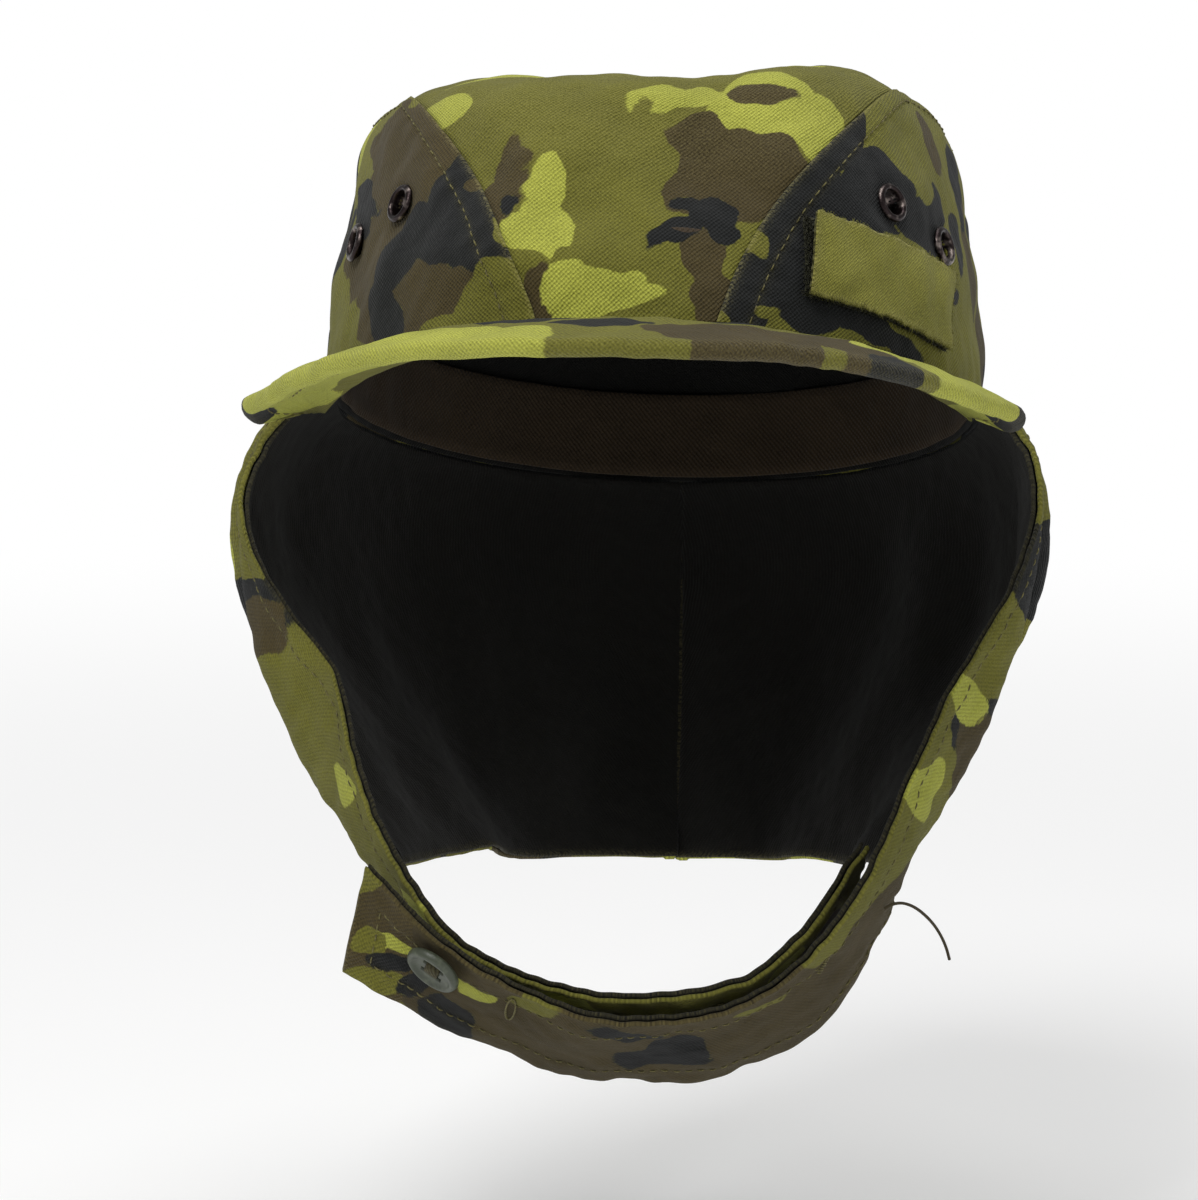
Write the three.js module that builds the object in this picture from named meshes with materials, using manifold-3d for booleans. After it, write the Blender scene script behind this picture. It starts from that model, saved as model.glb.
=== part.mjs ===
// Camouflage field cap with a visor and a two-layer neck and ear flap whose straps button under the chin.
// Millimetres, +Z up, +Y to the wearer's back, +X to the wearer's left.
// The origin is the centre of the crown's base edge, the plane in which a head carries the cap.
import * as THREE from 'three';
import Module from 'manifold-3d';
import { mergeVertices } from 'three/addons/utils/BufferGeometryUtils.js';

const wasm = await Module();
wasm.setup();

const DEG = Math.PI / 180;

// Crown: an ellipse of head size 57 to 58 (585 mm round), worn tipped back.
const BASE_HALF_WIDTH = 85;
const BASE_HALF_LENGTH = 100;
const WEAR_TILT = 19.5 * DEG;
const CROWN_HEIGHT = 80;
const CROWN_HEIGHT_RISE = 7;
const SEAM_HALF_WIDTH = 22;
const SEAM_SLOPE = 0.27;
const SEAM_FLARE = 0.0035;
const SHOULDER = 0.6;
const SWEATBAND_HEIGHT = 23;

// Cloth layers, as offsets along the outward normal of each surface.
const CLOTH = 0.9;
const LAYER_GAP = 0.4;
const SEAM_GAP = 0.6;
const HINGE_GAP = 0.6;
const FLAP_OUTER = 1.3;
const FLAP_LINING = -0.3;

// Visor.
const VISOR_END = 72 * DEG;
const VISOR_BOARD = 2;
const VISOR_BOARD_INSET = 0.04;
const VISOR_ARCH = 1.5;
const VISOR_SHIFT = -2;

// Hook-and-loop patch on the left side panel.
const PATCH = { front: 30 * DEG, rear: 61 * DEG, frontLow: 9.5, rearLow: 5, frontHeight: 19, rearHeight: 19 };
const PATCH_CURL = 4;

// Metal ventilation eyelets, a pair on each side panel.
const EYELETS = [
  { name: 'front', bearing: 47 * DEG, height: 37 },
  { name: 'rear', bearing: 62.5 * DEG, height: 32 },
];
const EYELET_FLANGE = 5;
const EYELET_BARREL = 3.5;
const EYELET_BORE = 3.1;
const EYELET_HOLE = 3.75;

// Neck and ear flap. Each cheek flap folds out along a plane parallel to X, which leans back
// towards the hem, so that the corner sewn beside the visor stays where it is.
const FLAP_SEAM_END = 77.75 * DEG;
const FOLD_Y = -37.5;
const FOLD_LEAN = Math.atan(0.25);
const CENTER_BACK_GAP = 0.0006;
const CROWN_EDGE_GAP = 0.0095;

// Chin button on the left strap, and the line across that strap beyond which its tip bends out.
const BUTTON_AT = { u: 18.9 / 20, v: 0.24 };
const BUTTON_RADIUS = 7.5;
const BUTTON_THICKNESS = 3;
const BUTTON_SEAT = 2.9;
const BUTTON_SLOT = { length: 6, width: 1.8, spacing: 4.4 };
const BUTTONHOLE = { length: 11, width: 3.2 };
const TAPE = { width: 4, thickness: 0.8, shankThickness: 1.4, shankDepth: 4 };
const TIP_BEND = 19.3 / 20;
const TIP_GAP = 0.0016;

const root = new THREE.Group();
const crownFrame = new THREE.Group();
crownFrame.rotation.x = -WEAR_TILT;
root.add(crownFrame);

const lerp = THREE.MathUtils.lerp;
const vec = (x, y, z) => new THREE.Vector3(x, y, z);

// ---------------------------------------------------------------- materials

const material = (color, roughness, metalness = 0) =>
  new THREE.MeshStandardMaterial({ color, roughness, metalness });
const camoTwill = () => material(0x5d5b2c, 0.85);
const liningTwill = () => material(0x22231c, 0.9);
const sweatbandCotton = () => material(0x6b4526, 0.85);
const visorBoard = () => material(0x3a3a36, 0.7);
const blackenedBrass = () => material(0x2b2421, 0.4, 0.8);
const patchWeb = () => material(0x67662f, 0.8);
const hookTape = () => material(0x4c4b2a, 0.9);
const loopPile = () => material(0x2c2b1d, 0.95);
const buttonPlastic = () => material(0x5b6150, 0.45);
const sewingThread = () => material(0x3c3a26, 0.8);

// ------------------------------------------------------------------ helpers

function addPart(parent, name, geometry, finish) {
  const mesh = new THREE.Mesh(geometry, finish);
  mesh.name = name;
  parent.add(mesh);
  return mesh;
}

// The value between low and high where a rising function reaches the target.
function solve(rising, target, low, high) {
  for (let step = 0; step < 40; step += 1) {
    const middle = (low + high) / 2;
    if (rising(middle) < target) low = middle;
    else high = middle;
  }
  return (low + high) / 2;
}

const grid = (columns, rows, point) =>
  Array.from({ length: columns + 1 }, (_, i) =>
    Array.from({ length: rows + 1 }, (_, j) => point(i / columns, j / rows)));

// Outward unit normals of a grid of points; side is 1 or -1 for the way its outer face looks.
function gridNormals(points, side) {
  const columns = points.length;
  const rows = points[0].length;
  return points.map((column, i) => column.map((_, j) => {
    const along = points[Math.min(i + 1, columns - 1)][j].clone().sub(points[Math.max(i - 1, 0)][j]);
    const across = points[i][Math.min(j + 1, rows - 1)].clone().sub(points[i][Math.max(j - 1, 0)]);
    return along.cross(across).normalize().multiplyScalar(side);
  }));
}

// A closed sheet between an outer and an inner grid of points.
// The grids' first index runs along the sheet, and closed joins the last column to the first.
function shell(outerGrid, innerGrid, { side = 1, closed = false } = {}) {
  const columns = outerGrid.length;
  const rows = outerGrid[0].length;
  const positions = [outerGrid, innerGrid].flatMap((layer) => layer.flatMap((column) => column.flatMap(
    (point) => point.toArray())));
  const at = (layer, i, j) => (layer * columns + (i % columns)) * rows + j;
  const triangles = [];
  const quad = (a, b, c, d) => {
    if (side > 0) triangles.push(a, b, c, a, c, d);
    else triangles.push(a, c, b, a, d, c);
  };
  const spans = closed ? columns : columns - 1;
  for (let i = 0; i < spans; i += 1) {
    for (let j = 0; j < rows - 1; j += 1) {
      quad(at(0, i, j), at(0, i + 1, j), at(0, i + 1, j + 1), at(0, i, j + 1));
      quad(at(1, i, j), at(1, i, j + 1), at(1, i + 1, j + 1), at(1, i + 1, j));
    }
    quad(at(0, i, 0), at(1, i, 0), at(1, i + 1, 0), at(0, i + 1, 0));
    quad(at(0, i, rows - 1), at(0, i + 1, rows - 1), at(1, i + 1, rows - 1), at(1, i, rows - 1));
  }
  if (!closed) {
    for (let j = 0; j < rows - 1; j += 1) {
      quad(at(0, 0, j), at(0, 0, j + 1), at(1, 0, j + 1), at(1, 0, j));
      const last = columns - 1;
      quad(at(0, last, j), at(1, last, j), at(1, last, j + 1), at(0, last, j + 1));
    }
  }
  const geometry = new THREE.BufferGeometry();
  geometry.setAttribute('position', new THREE.Float32BufferAttribute(positions, 3));
  geometry.setIndex(triangles);
  geometry.computeVertexNormals();
  return geometry;
}

// A closed sheet of cloth between two offsets from a grid of points.
function sheet(points, outer, inner, side = 1) {
  const normals = gridNormals(points, side);
  const offsetGrid = (offset) => points.map((column, i) => column.map((point, j) =>
    point.clone().addScaledVector(normals[i][j], offset)));
  return shell(offsetGrid(outer), offsetGrid(inner), { side });
}

function toSolid(geometry) {
  const bare = geometry.clone();
  bare.deleteAttribute('normal');
  bare.deleteAttribute('uv');
  const merged = mergeVertices(bare);
  return new wasm.Manifold(new wasm.Mesh({
    numProp: 3,
    vertProperties: new Float32Array(merged.attributes.position.array),
    triVerts: new Uint32Array(merged.index.array),
  }));
}

function fromSolid(solid) {
  const mesh = solid.getMesh();
  const geometry = new THREE.BufferGeometry();
  geometry.setAttribute('position', new THREE.Float32BufferAttribute(mesh.vertProperties, 3));
  geometry.setIndex(Array.from(mesh.triVerts));
  geometry.computeVertexNormals();
  return geometry;
}

// The first geometry with every cutter taken out of it.
const cut = (geometry, cutters) =>
  fromSolid(cutters.reduce((left, cutter) => left.subtract(toSolid(cutter)), toSolid(geometry)));

// Turns a geometry's +Y axis to a direction and moves it to a place.
function aimed(geometry, place, direction) {
  const turn = new THREE.Quaternion().setFromUnitVectors(vec(0, 1, 0), direction);
  return geometry.clone().applyQuaternion(turn).translate(place.x, place.y, place.z);
}

// -------------------------------------------------------------------- crown

// Wall and top in section: radius as a share of the base, height as a share of the crown's height.
const crownProfile = new THREE.SplineCurve([
  [1, 0], [0.995, 0.3], [0.955, 0.6], [0.895, 0.85], [0.755, 0.97], [0.5, 1.02], [0, 1.04],
].map(([radius, height]) => new THREE.Vector2(radius, height)));

const crownHeight = (bearing) => CROWN_HEIGHT - CROWN_HEIGHT_RISE * Math.cos(bearing);

// Outward normal of the crown, from the slope of its section.
function crownNormal(bearing, s) {
  const slope = crownProfile.getPoint(Math.min(s + 0.005, 1)).sub(crownProfile.getPoint(Math.max(s - 0.005, 0)));
  return vec(
    slope.y * Math.sin(bearing) / BASE_HALF_WIDTH,
    -slope.y * Math.cos(bearing) / BASE_HALF_LENGTH,
    -slope.x / crownHeight(bearing),
  ).normalize();
}

// A point at an offset from the crown's surface: bearing 0 is the front, 90 degrees the wearer's left.
function crownPoint(bearing, s, offset = 0) {
  const profile = crownProfile.getPoint(s);
  return vec(
    BASE_HALF_WIDTH * profile.x * Math.sin(bearing),
    -BASE_HALF_LENGTH * profile.x * Math.cos(bearing),
    crownHeight(bearing) * profile.y,
  ).addScaledVector(crownNormal(bearing, s), offset);
}

// A closed sheet on the crown between two offsets; place gives the bearing and section share at u, v.
function crownSheet(columns, rows, place, outer, inner, options) {
  const layer = (offset) => grid(columns, rows, (u, v) => {
    const { bearing, s, lift = 0 } = place(u, v);
    return crownPoint(bearing, s, offset + lift);
  });
  return shell(layer(outer), layer(inner), options);
}

const wallShare = (bearing, height) =>
  solve((s) => crownProfile.getPoint(s).y, height / crownHeight(bearing), 0, SHOULDER);

// Bearing of the seam between the centre panel and a side panel, at a share of the section.
function seamBearing(s) {
  const profile = crownProfile.getPoint(s);
  const height = CROWN_HEIGHT * profile.y;
  const x = SEAM_HALF_WIDTH + SEAM_SLOPE * height + SEAM_FLARE * height * height;
  return Math.asin(x / (BASE_HALF_WIDTH * profile.x));
}

const SEAM_GAP_ANGLE = SEAM_GAP / 2 / 70;
const SHOULDER_BEARING = seamBearing(SHOULDER) - SEAM_GAP_ANGLE;

// Side panel of the wearer's left (side 1) or right (side -1): the wall between the seams.
const sidePanelPlace = (side) => (u, v) => {
  const s = v * (SHOULDER - 0.007);
  const start = seamBearing(s) + SEAM_GAP_ANGLE;
  return { bearing: side * lerp(start, Math.PI - start, u), s };
};

// Top of the centre panel: a disc crossed by rows that run from one shoulder to the other.
function topPlace(u, t) {
  const radius = crownProfile.getPoint(SHOULDER).x;
  const across = lerp(-1, 1, u);
  const bearing = lerp(SHOULDER_BEARING, Math.PI - SHOULDER_BEARING, t);
  const x = radius * Math.sin(bearing) * Math.sin(across * SHOULDER_BEARING) / Math.sin(SHOULDER_BEARING);
  const bulge = radius * (Math.cos(across * SHOULDER_BEARING) - Math.cos(SHOULDER_BEARING));
  const y = -radius * Math.cos(bearing) - (1 - 2 * t) * bulge;
  const s = solve((share) => -crownProfile.getPoint(share).x, -Math.hypot(x, y), SHOULDER, 1);
  return { bearing: Math.atan2(x, -y), s };
}

// Centre panel: up the front wall, over the top and down the back wall.
function centerPanelPlace(u, v) {
  const wall = 0.3;
  if (v > wall && v < 1 - wall) return topPlace(u, (v - wall) / (1 - 2 * wall));
  const back = v > 0.5;
  const s = SHOULDER * Math.min((back ? 1 - v : v) / wall, 1);
  const offset = lerp(-1, 1, u) * (seamBearing(s) - SEAM_GAP_ANGLE);
  return { bearing: back ? Math.PI - offset : offset, s };
}

function addCrown() {
  const liningOuter = -CLOTH - LAYER_GAP;
  const liningInner = liningOuter - 0.6;
  const centerSheet = (outer, inner) => crownSheet(8, 20, centerPanelPlace, outer, inner);
  addPart(crownFrame, 'crown_center_panel', centerSheet(0, -CLOTH), camoTwill());
  addPart(crownFrame, 'crown_lining_center', centerSheet(liningOuter, liningInner), liningTwill());
  for (const [word, side] of [['left', 1], ['right', -1]]) {
    const sideSheet = (outer, inner) => crownSheet(16, 6, sidePanelPlace(side), outer, inner, { side });
    const holes = EYELETS.map(({ bearing, height }) => {
      const s = wallShare(bearing, height);
      const drill = new THREE.CylinderGeometry(EYELET_HOLE, EYELET_HOLE, 12, 20);
      return aimed(drill, crownPoint(side * bearing, s), crownNormal(side * bearing, s));
    });
    addPart(crownFrame, `crown_side_panel_${word}`, cut(sideSheet(0, -CLOTH), holes), camoTwill());
    addPart(crownFrame, `crown_lining_${word}`, cut(sideSheet(liningOuter, liningInner), holes), liningTwill());
  }
  const segments = 48;
  const bandPlace = (u, v) => {
    const bearing = 2 * Math.PI * u * (segments - 1) / segments;
    return { bearing, s: wallShare(bearing, 1 + v * SWEATBAND_HEIGHT) };
  };
  const band = crownSheet(segments - 1, 2, bandPlace, -2.8, -3.8, { closed: true });
  addPart(crownFrame, 'sweatband', band, sweatbandCotton());
}

// Eyelet: a rolled flange outside and a barrel through panel and lining; a washer closes it inside.
function addEyelets() {
  const flange = new THREE.LatheGeometry([
    [EYELET_BORE, -3.5], [EYELET_BARREL, -3.5], [EYELET_BARREL, 0.45], [EYELET_FLANGE, 0.45],
    [EYELET_FLANGE - 0.3, 1.2], [EYELET_BARREL + 0.5, 1.6], [EYELET_BORE, 1.2], [EYELET_BORE, -3.5],
  ].map(([r, y]) => new THREE.Vector2(r, y)), 16);
  const washer = new THREE.LatheGeometry([
    [EYELET_HOLE, -3.3], [EYELET_FLANGE, -3.3], [EYELET_FLANGE, -2.7], [EYELET_HOLE, -2.7], [EYELET_HOLE, -3.3],
  ].map(([r, y]) => new THREE.Vector2(r, y)), 16);
  for (const [word, side] of [['left', 1], ['right', -1]]) {
    for (const { name, bearing, height } of EYELETS) {
      const s = wallShare(bearing, height);
      const place = crownPoint(side * bearing, s);
      const turn = new THREE.Quaternion().setFromUnitVectors(vec(0, 1, 0), crownNormal(side * bearing, s));
      for (const [kind, geometry] of [['eyelet', flange], ['eyelet_washer', washer]]) {
        const ring = addPart(crownFrame, `${kind}_${word}_${name}`, geometry.clone(), blackenedBrass());
        ring.position.copy(place);
        ring.quaternion.copy(turn);
      }
    }
  }
}

// -------------------------------------------------------------------- visor

// Half of the visor's free edge in the crown's frame, from its tip at the front to its end at the temple.
const VISOR_HALF_EDGE = [
  [22, -151, -16.6], [43, -136, -14.2], [62, -116, -12.4], [77, -94, -11.8],
  [89, -71, -11.5], [97, -52, -10.5], [96, -40, -10], [89, -34, -9],
];
const visorEdge = new THREE.CatmullRomCurve3([
  ...VISOR_HALF_EDGE.map(([x, y, z]) => vec(VISOR_SHIFT - x, y, z)).reverse(),
  vec(VISOR_SHIFT, -155.5, -17.4),
  ...VISOR_HALF_EDGE.map(([x, y, z]) => vec(VISOR_SHIFT + x, y, z)),
]);

// u runs from the right temple to the left one, v from the crown's seam to the free edge.
function visorPoint(u, v) {
  const bearing = lerp(-VISOR_END, VISOR_END, u);
  const seam = vec(
    (BASE_HALF_WIDTH + LAYER_GAP) * Math.sin(bearing),
    -(BASE_HALF_LENGTH + LAYER_GAP) * Math.cos(bearing),
    -5 * Math.abs(bearing / VISOR_END) ** 3,
  );
  const point = seam.lerp(visorEdge.getPoint(u), v);
  point.z += VISOR_ARCH * 4 * v * (1 - v);
  return point;
}

function addVisor() {
  const up = -1;
  const cover = grid(24, 4, visorPoint);
  const board = grid(24, 4, (u, v) => visorPoint(
    lerp(VISOR_BOARD_INSET, 1 - VISOR_BOARD_INSET, u),
    lerp(0.03, 1 - VISOR_BOARD_INSET, v),
  ));
  const boardTop = -CLOTH - LAYER_GAP;
  const underTop = boardTop - VISOR_BOARD - LAYER_GAP;
  addPart(crownFrame, 'visor_top_cover', sheet(cover, 0, -CLOTH, up), camoTwill());
  addPart(crownFrame, 'visor_stiffener', sheet(board, boardTop, boardTop - VISOR_BOARD, up), visorBoard());
  addPart(crownFrame, 'visor_under_cover', sheet(cover, underTop, underTop - CLOTH, up), camoTwill());
}

// -------------------------------------------------------------------- patch

// u runs from the patch's front edge to its rear edge, v from its lower edge to its upper edge.
const patchPlace = (curl) => (u, v) => {
  const bearing = lerp(PATCH.front, PATCH.rear, u);
  const height = lerp(PATCH.frontLow, PATCH.rearLow, u) + v * lerp(PATCH.frontHeight, PATCH.rearHeight, u);
  return { bearing, s: wallShare(bearing, height), lift: curl * (1 - u) ** 6 * v };
};

function addPatch() {
  addPart(crownFrame, 'patch_loop_base', crownSheet(8, 3, patchPlace(0), 1.4, 0.4), loopPile());
  addPart(crownFrame, 'patch_hook_backing', crownSheet(10, 3, patchPlace(PATCH_CURL), 2.4, 1.8), hookTape());
  addPart(crownFrame, 'patch_cover', crownSheet(10, 3, patchPlace(PATCH_CURL), 3.7, 2.8), patchWeb());
}

// --------------------------------------------------------------------- flap

// A point of the crown's base edge in the cap's own frame.
function baseEdge(bearing) {
  return crownPoint(bearing, 0).applyAxisAngle(vec(1, 0, 0), -WEAR_TILT);
}

// A rib is one thread of the flap from its upper edge (top) to its hem. It bows outward by bow
// along a bearing (0 points to +X, 90 to the back); skew below 1 moves the bow towards the top.
const rib = (top, hem, bow = 0, bearing = 0, skew = 1) => ({
  top: Array.isArray(top) ? vec(...top) : top, hem: vec(...hem), bow, bearing: bearing * DEG, skew,
});

const mirrorRib = ({ top, hem, bow, bearing, skew }) => ({
  top: vec(-top.x, top.y, top.z), hem: vec(-hem.x, hem.y, hem.z), bow, bearing: Math.PI - bearing, skew,
});

// The neck part of the wearer's left, from the centre-back seam to the ear.
const NECK_RIBS = [
  rib(baseEdge(180 * DEG), [0, 77, -137], 9, 90, 0.8),
  rib(baseEdge(150 * DEG), [24, 72, -136], 10, 68, 0.8),
  rib(baseEdge(122 * DEG), [43, 51, -131], 14, 40, 0.75),
  rib(baseEdge(98 * DEG), [56, 14, -123], 20, 12, 0.7),
];

// Left ear, cheek and strap, which passes outside and under the chin to the wearer's right.
const LEFT_RIBS = [
  ...NECK_RIBS,
  rib(baseEdge(FLAP_SEAM_END), [62, -20, -117], 21, 0, 0.65),
  rib([91, -22.5, 0], [61.5, -21, -117], 18, -2, 0.7),
  rib([97, -26, -8], [61, -22.5, -117.5], 12, -5, 0.8),
  rib([99, -30.5, -20], [60.5, -24.5, -117.5], 9, -10, 0.9),
  rib([94, -37, -38], [61, -28, -118.5], 8, -15),
  rib([85, -42, -54], [61, -30.5, -120.5], 6, -20),
  rib([77, -48, -67], [60.5, -32, -123], 5, -25),
  rib([70, -53, -83], [60, -34, -126], 4, -30),
  rib([63, -58, -99], [59, -36.5, -130], 3, -40),
  rib([54, -65, -116], [54, -41, -140], 1.5, -50),
  rib([40, -72, -132], [42, -48.5, -154]),
  rib([25, -77, -140], [26, -53.5, -161]),
  rib([7, -80, -143], [6, -57, -164]),
  rib([-14, -80, -141], [-16, -57.5, -162.5]),
  rib([-32, -77, -134.5], [-36, -57, -156]),
  rib([-48, -72.5, -125.5], [-53, -57, -148]),
  rib([-66.5, -69, -108], [-74, -61, -137]),
];

// Right ear, cheek and strap, which lies inside the other one.
const RIGHT_RIBS = [
  ...NECK_RIBS.map(mirrorRib),
  rib(baseEdge(-FLAP_SEAM_END), [-66, -20, -119], -27, 0, 0.65),
  rib([-92, -22.5, 0], [-66, -21, -118.5], -23, 2, 0.7),
  rib([-99, -26, -9], [-66, -22.5, -118.5], -15, 5, 0.8),
  rib([-103, -30.5, -21], [-66.5, -24, -119], -11, 10, 0.9),
  rib([-100, -34, -35], [-66.5, -26, -120], -10, 15),
  rib([-89, -39, -51], [-66, -28, -121], -9, 20),
  rib([-78, -45, -63], [-65.5, -30, -123], -8, 25),
  rib([-73.5, -50.5, -79], [-64, -32, -126], -6, 30),
  rib([-67, -56, -96], [-62, -35, -131], -3, 40),
  rib([-57, -62, -113], [-56, -40, -139], -1.5, 50),
  rib([-43, -66.5, -128], [-43, -45, -151]),
  rib([-25, -70.5, -136], [-25, -48.5, -157]),
  rib([-6, -73, -139], [-6, -50, -160]),
  rib([12, -73, -138], [12, -50, -159]),
  rib([30, -69, -134], [30, -47, -155]),
  rib([43, -62, -123], [43, -40, -144]),
  rib([57, -51, -104], [54, -31, -127]),
];

// Surface through a row of ribs: u along the flap, v from the upper edge to the hem.
function flapSurface(ribs) {
  const top = new THREE.CatmullRomCurve3(ribs.map((each) => each.top));
  const hem = new THREE.CatmullRomCurve3(ribs.map((each) => each.hem));
  const bowed = new THREE.CatmullRomCurve3(ribs.map(({ bow, bearing }) =>
    vec(bow * Math.cos(bearing), bow * Math.sin(bearing), 0)));
  return (u, v) => {
    const place = Math.min(u, 1) * (ribs.length - 1);
    const first = Math.min(Math.floor(place), ribs.length - 2);
    const skew = lerp(ribs[first].skew, ribs[first + 1].skew, place - first);
    const point = top.getPoint(u).lerp(hem.getPoint(u), v);
    return point.addScaledVector(bowed.getPoint(u), Math.sin(Math.PI * v ** skew));
  };
}

// A flap's camouflage cloth and its lining, with holes or whole sides cut away from both.
function addFlapLayers(name, points, side, cutters) {
  const layer = (outer) => cut(sheet(points, outer, outer - CLOTH, side), cutters);
  addPart(root, name, layer(FLAP_OUTER), camoTwill());
  addPart(root, `${name}_lining`, layer(FLAP_LINING), liningTwill());
}

// All the space on one side of the fold plane: forward (1) or backward (-1).
function foldSide(forward) {
  const size = 500;
  return new THREE.BoxGeometry(size, size, size)
    .translate(0, -forward * (size / 2 - HINGE_GAP / 2), 0)
    .rotateX(FOLD_LEAN)
    .translate(0, FOLD_Y, 0);
}

function surfaceFrame(surface, u, v) {
  const step = 0.004;
  const along = surface(u + step, v).sub(surface(u - step, v)).normalize();
  const across = surface(u, v + step).sub(surface(u, v - step)).normalize();
  const normal = along.clone().cross(across).normalize();
  return { place: surface(u, v), along, normal };
}

// Places a geometry made with +X along the strap and +Z out of it.
function ontoStrap(geometry, { place, along, normal }) {
  const side = normal.clone().cross(along);
  const basis = new THREE.Matrix4().makeBasis(along, side, normal).setPosition(place);
  return geometry.applyMatrix4(basis);
}

function addFlaps() {
  const left = flapSurface(LEFT_RIBS);
  const right = flapSurface(RIGHT_RIBS);
  const flapGrid = (surface, from, to, columns) =>
    grid(columns, 6, (u, v) => surface(lerp(from, to, u), lerp(CROWN_EDGE_GAP, 1, v)));
  const buttonFrame = surfaceFrame(left, BUTTON_AT.u, BUTTON_AT.v);
  const leftPoints = flapGrid(left, CENTER_BACK_GAP, TIP_BEND - TIP_GAP, 36);
  const rightPoints = flapGrid(right, CENTER_BACK_GAP, 1, 38);
  addFlapLayers('neck_curtain_left', leftPoints, 1, [foldSide(1)]);
  addFlapLayers('cheek_flap_left', leftPoints, 1, [foldSide(-1), buttonhole(buttonFrame)]);
  addFlapLayers('neck_curtain_right', rightPoints, -1, [foldSide(1)]);
  addFlapLayers('cheek_flap_right', rightPoints, -1, [foldSide(-1)]);
  addFlapLayers('strap_tip', flapGrid(left, TIP_BEND + TIP_GAP, 1, 3), 1, []);
  addButton(buttonFrame);
}

// ------------------------------------------------------------------- button

const buttonhole = (frame) =>
  ontoStrap(new THREE.BoxGeometry(BUTTONHOLE.length, BUTTONHOLE.width, 8), frame);

// A slotted field button, held by a tape that runs through both slots and through the buttonhole.
function addButton(frame) {
  const rim = BUTTON_RADIUS;
  const dish = BUTTON_THICKNESS - 1;
  const disc = new THREE.LatheGeometry([
    [0, 0], [rim - 0.8, 0], [rim, 0.9], [rim, 2.4],
    [rim - 0.6, BUTTON_THICKNESS], [rim - 1.6, BUTTON_THICKNESS], [rim - 2.2, dish], [0, dish],
  ].map(([r, y]) => new THREE.Vector2(r, y)), 24).rotateX(90 * DEG);
  const slots = [-1, 1].map((way) =>
    new THREE.BoxGeometry(BUTTON_SLOT.length, BUTTON_SLOT.width, 10).translate(0, way * BUTTON_SLOT.spacing / 2, 0));
  const button = cut(disc, slots).translate(0, 0, BUTTON_SEAT);
  addPart(root, 'chin_button', ontoStrap(button, frame), buttonPlastic());

  const { width, thickness, shankThickness, shankDepth } = TAPE;
  const span = BUTTON_SLOT.spacing + thickness;
  const top = BUTTON_SEAT + BUTTON_THICKNESS - 0.2;
  const bottom = BUTTON_SEAT - 0.7;
  const pieces = [
    new THREE.BoxGeometry(width, span, thickness).translate(0, 0, top),
    new THREE.BoxGeometry(width, span, thickness).translate(0, 0, bottom),
    new THREE.BoxGeometry(width, shankThickness, shankDepth).translate(0, 0, bottom - shankDepth / 2),
    ...[-1, 1].map((way) => new THREE.BoxGeometry(width, thickness, top - bottom)
      .translate(0, way * BUTTON_SLOT.spacing / 2, (top + bottom) / 2)),
  ].map(toSolid);
  const tape = fromSolid(pieces.reduce((joined, piece) => joined.add(piece)));
  addPart(root, 'button_tape', ontoStrap(tape, frame), sewingThread());
}

// ------------------------------------------------------------- loose thread

// A loose end of sewing thread that sticks out of the left strap's stitching.
const THREAD_ROUTE = [
  [62.6, -58.2, -118.6], [64.6, -57.6, -117.6], [66.8, -56, -117.6], [69, -54, -118.6], [71, -52, -120.2],
  [72.8, -50, -122.2], [74.4, -48, -124.4], [75.8, -46.2, -126.8], [77, -44.6, -129.4], [78, -43.2, -132.2],
  [78.8, -42, -135.4],
];
const THREAD_RADIUS = 0.4;

function addThread() {
  const route = new THREE.CatmullRomCurve3(THREAD_ROUTE.map((point) => vec(...point)));
  const section = new THREE.Shape(Array.from({ length: 8 }, (_, i) =>
    new THREE.Vector2(THREAD_RADIUS * Math.cos(i * 45 * DEG), THREAD_RADIUS * Math.sin(i * 45 * DEG))));
  const thread = new THREE.ExtrudeGeometry(section, { extrudePath: route, steps: 20, bevelEnabled: false });
  addPart(root, 'loose_thread', thread, sewingThread());
}

addCrown();
addEyelets();
addVisor();
addPatch();
addFlaps();
addThread();

export default root;
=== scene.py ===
"""Looks of a camouflage field cap: crown, visor, eyelets, patch, neck and cheek flap, chin straps.

Lengths are in millimetres, as in the part's source, until a mesh is made: Blender gets metres.
The names of directions are the part's: +X the wearer's left, +Y the back, +Z up.
"""
import math

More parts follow.
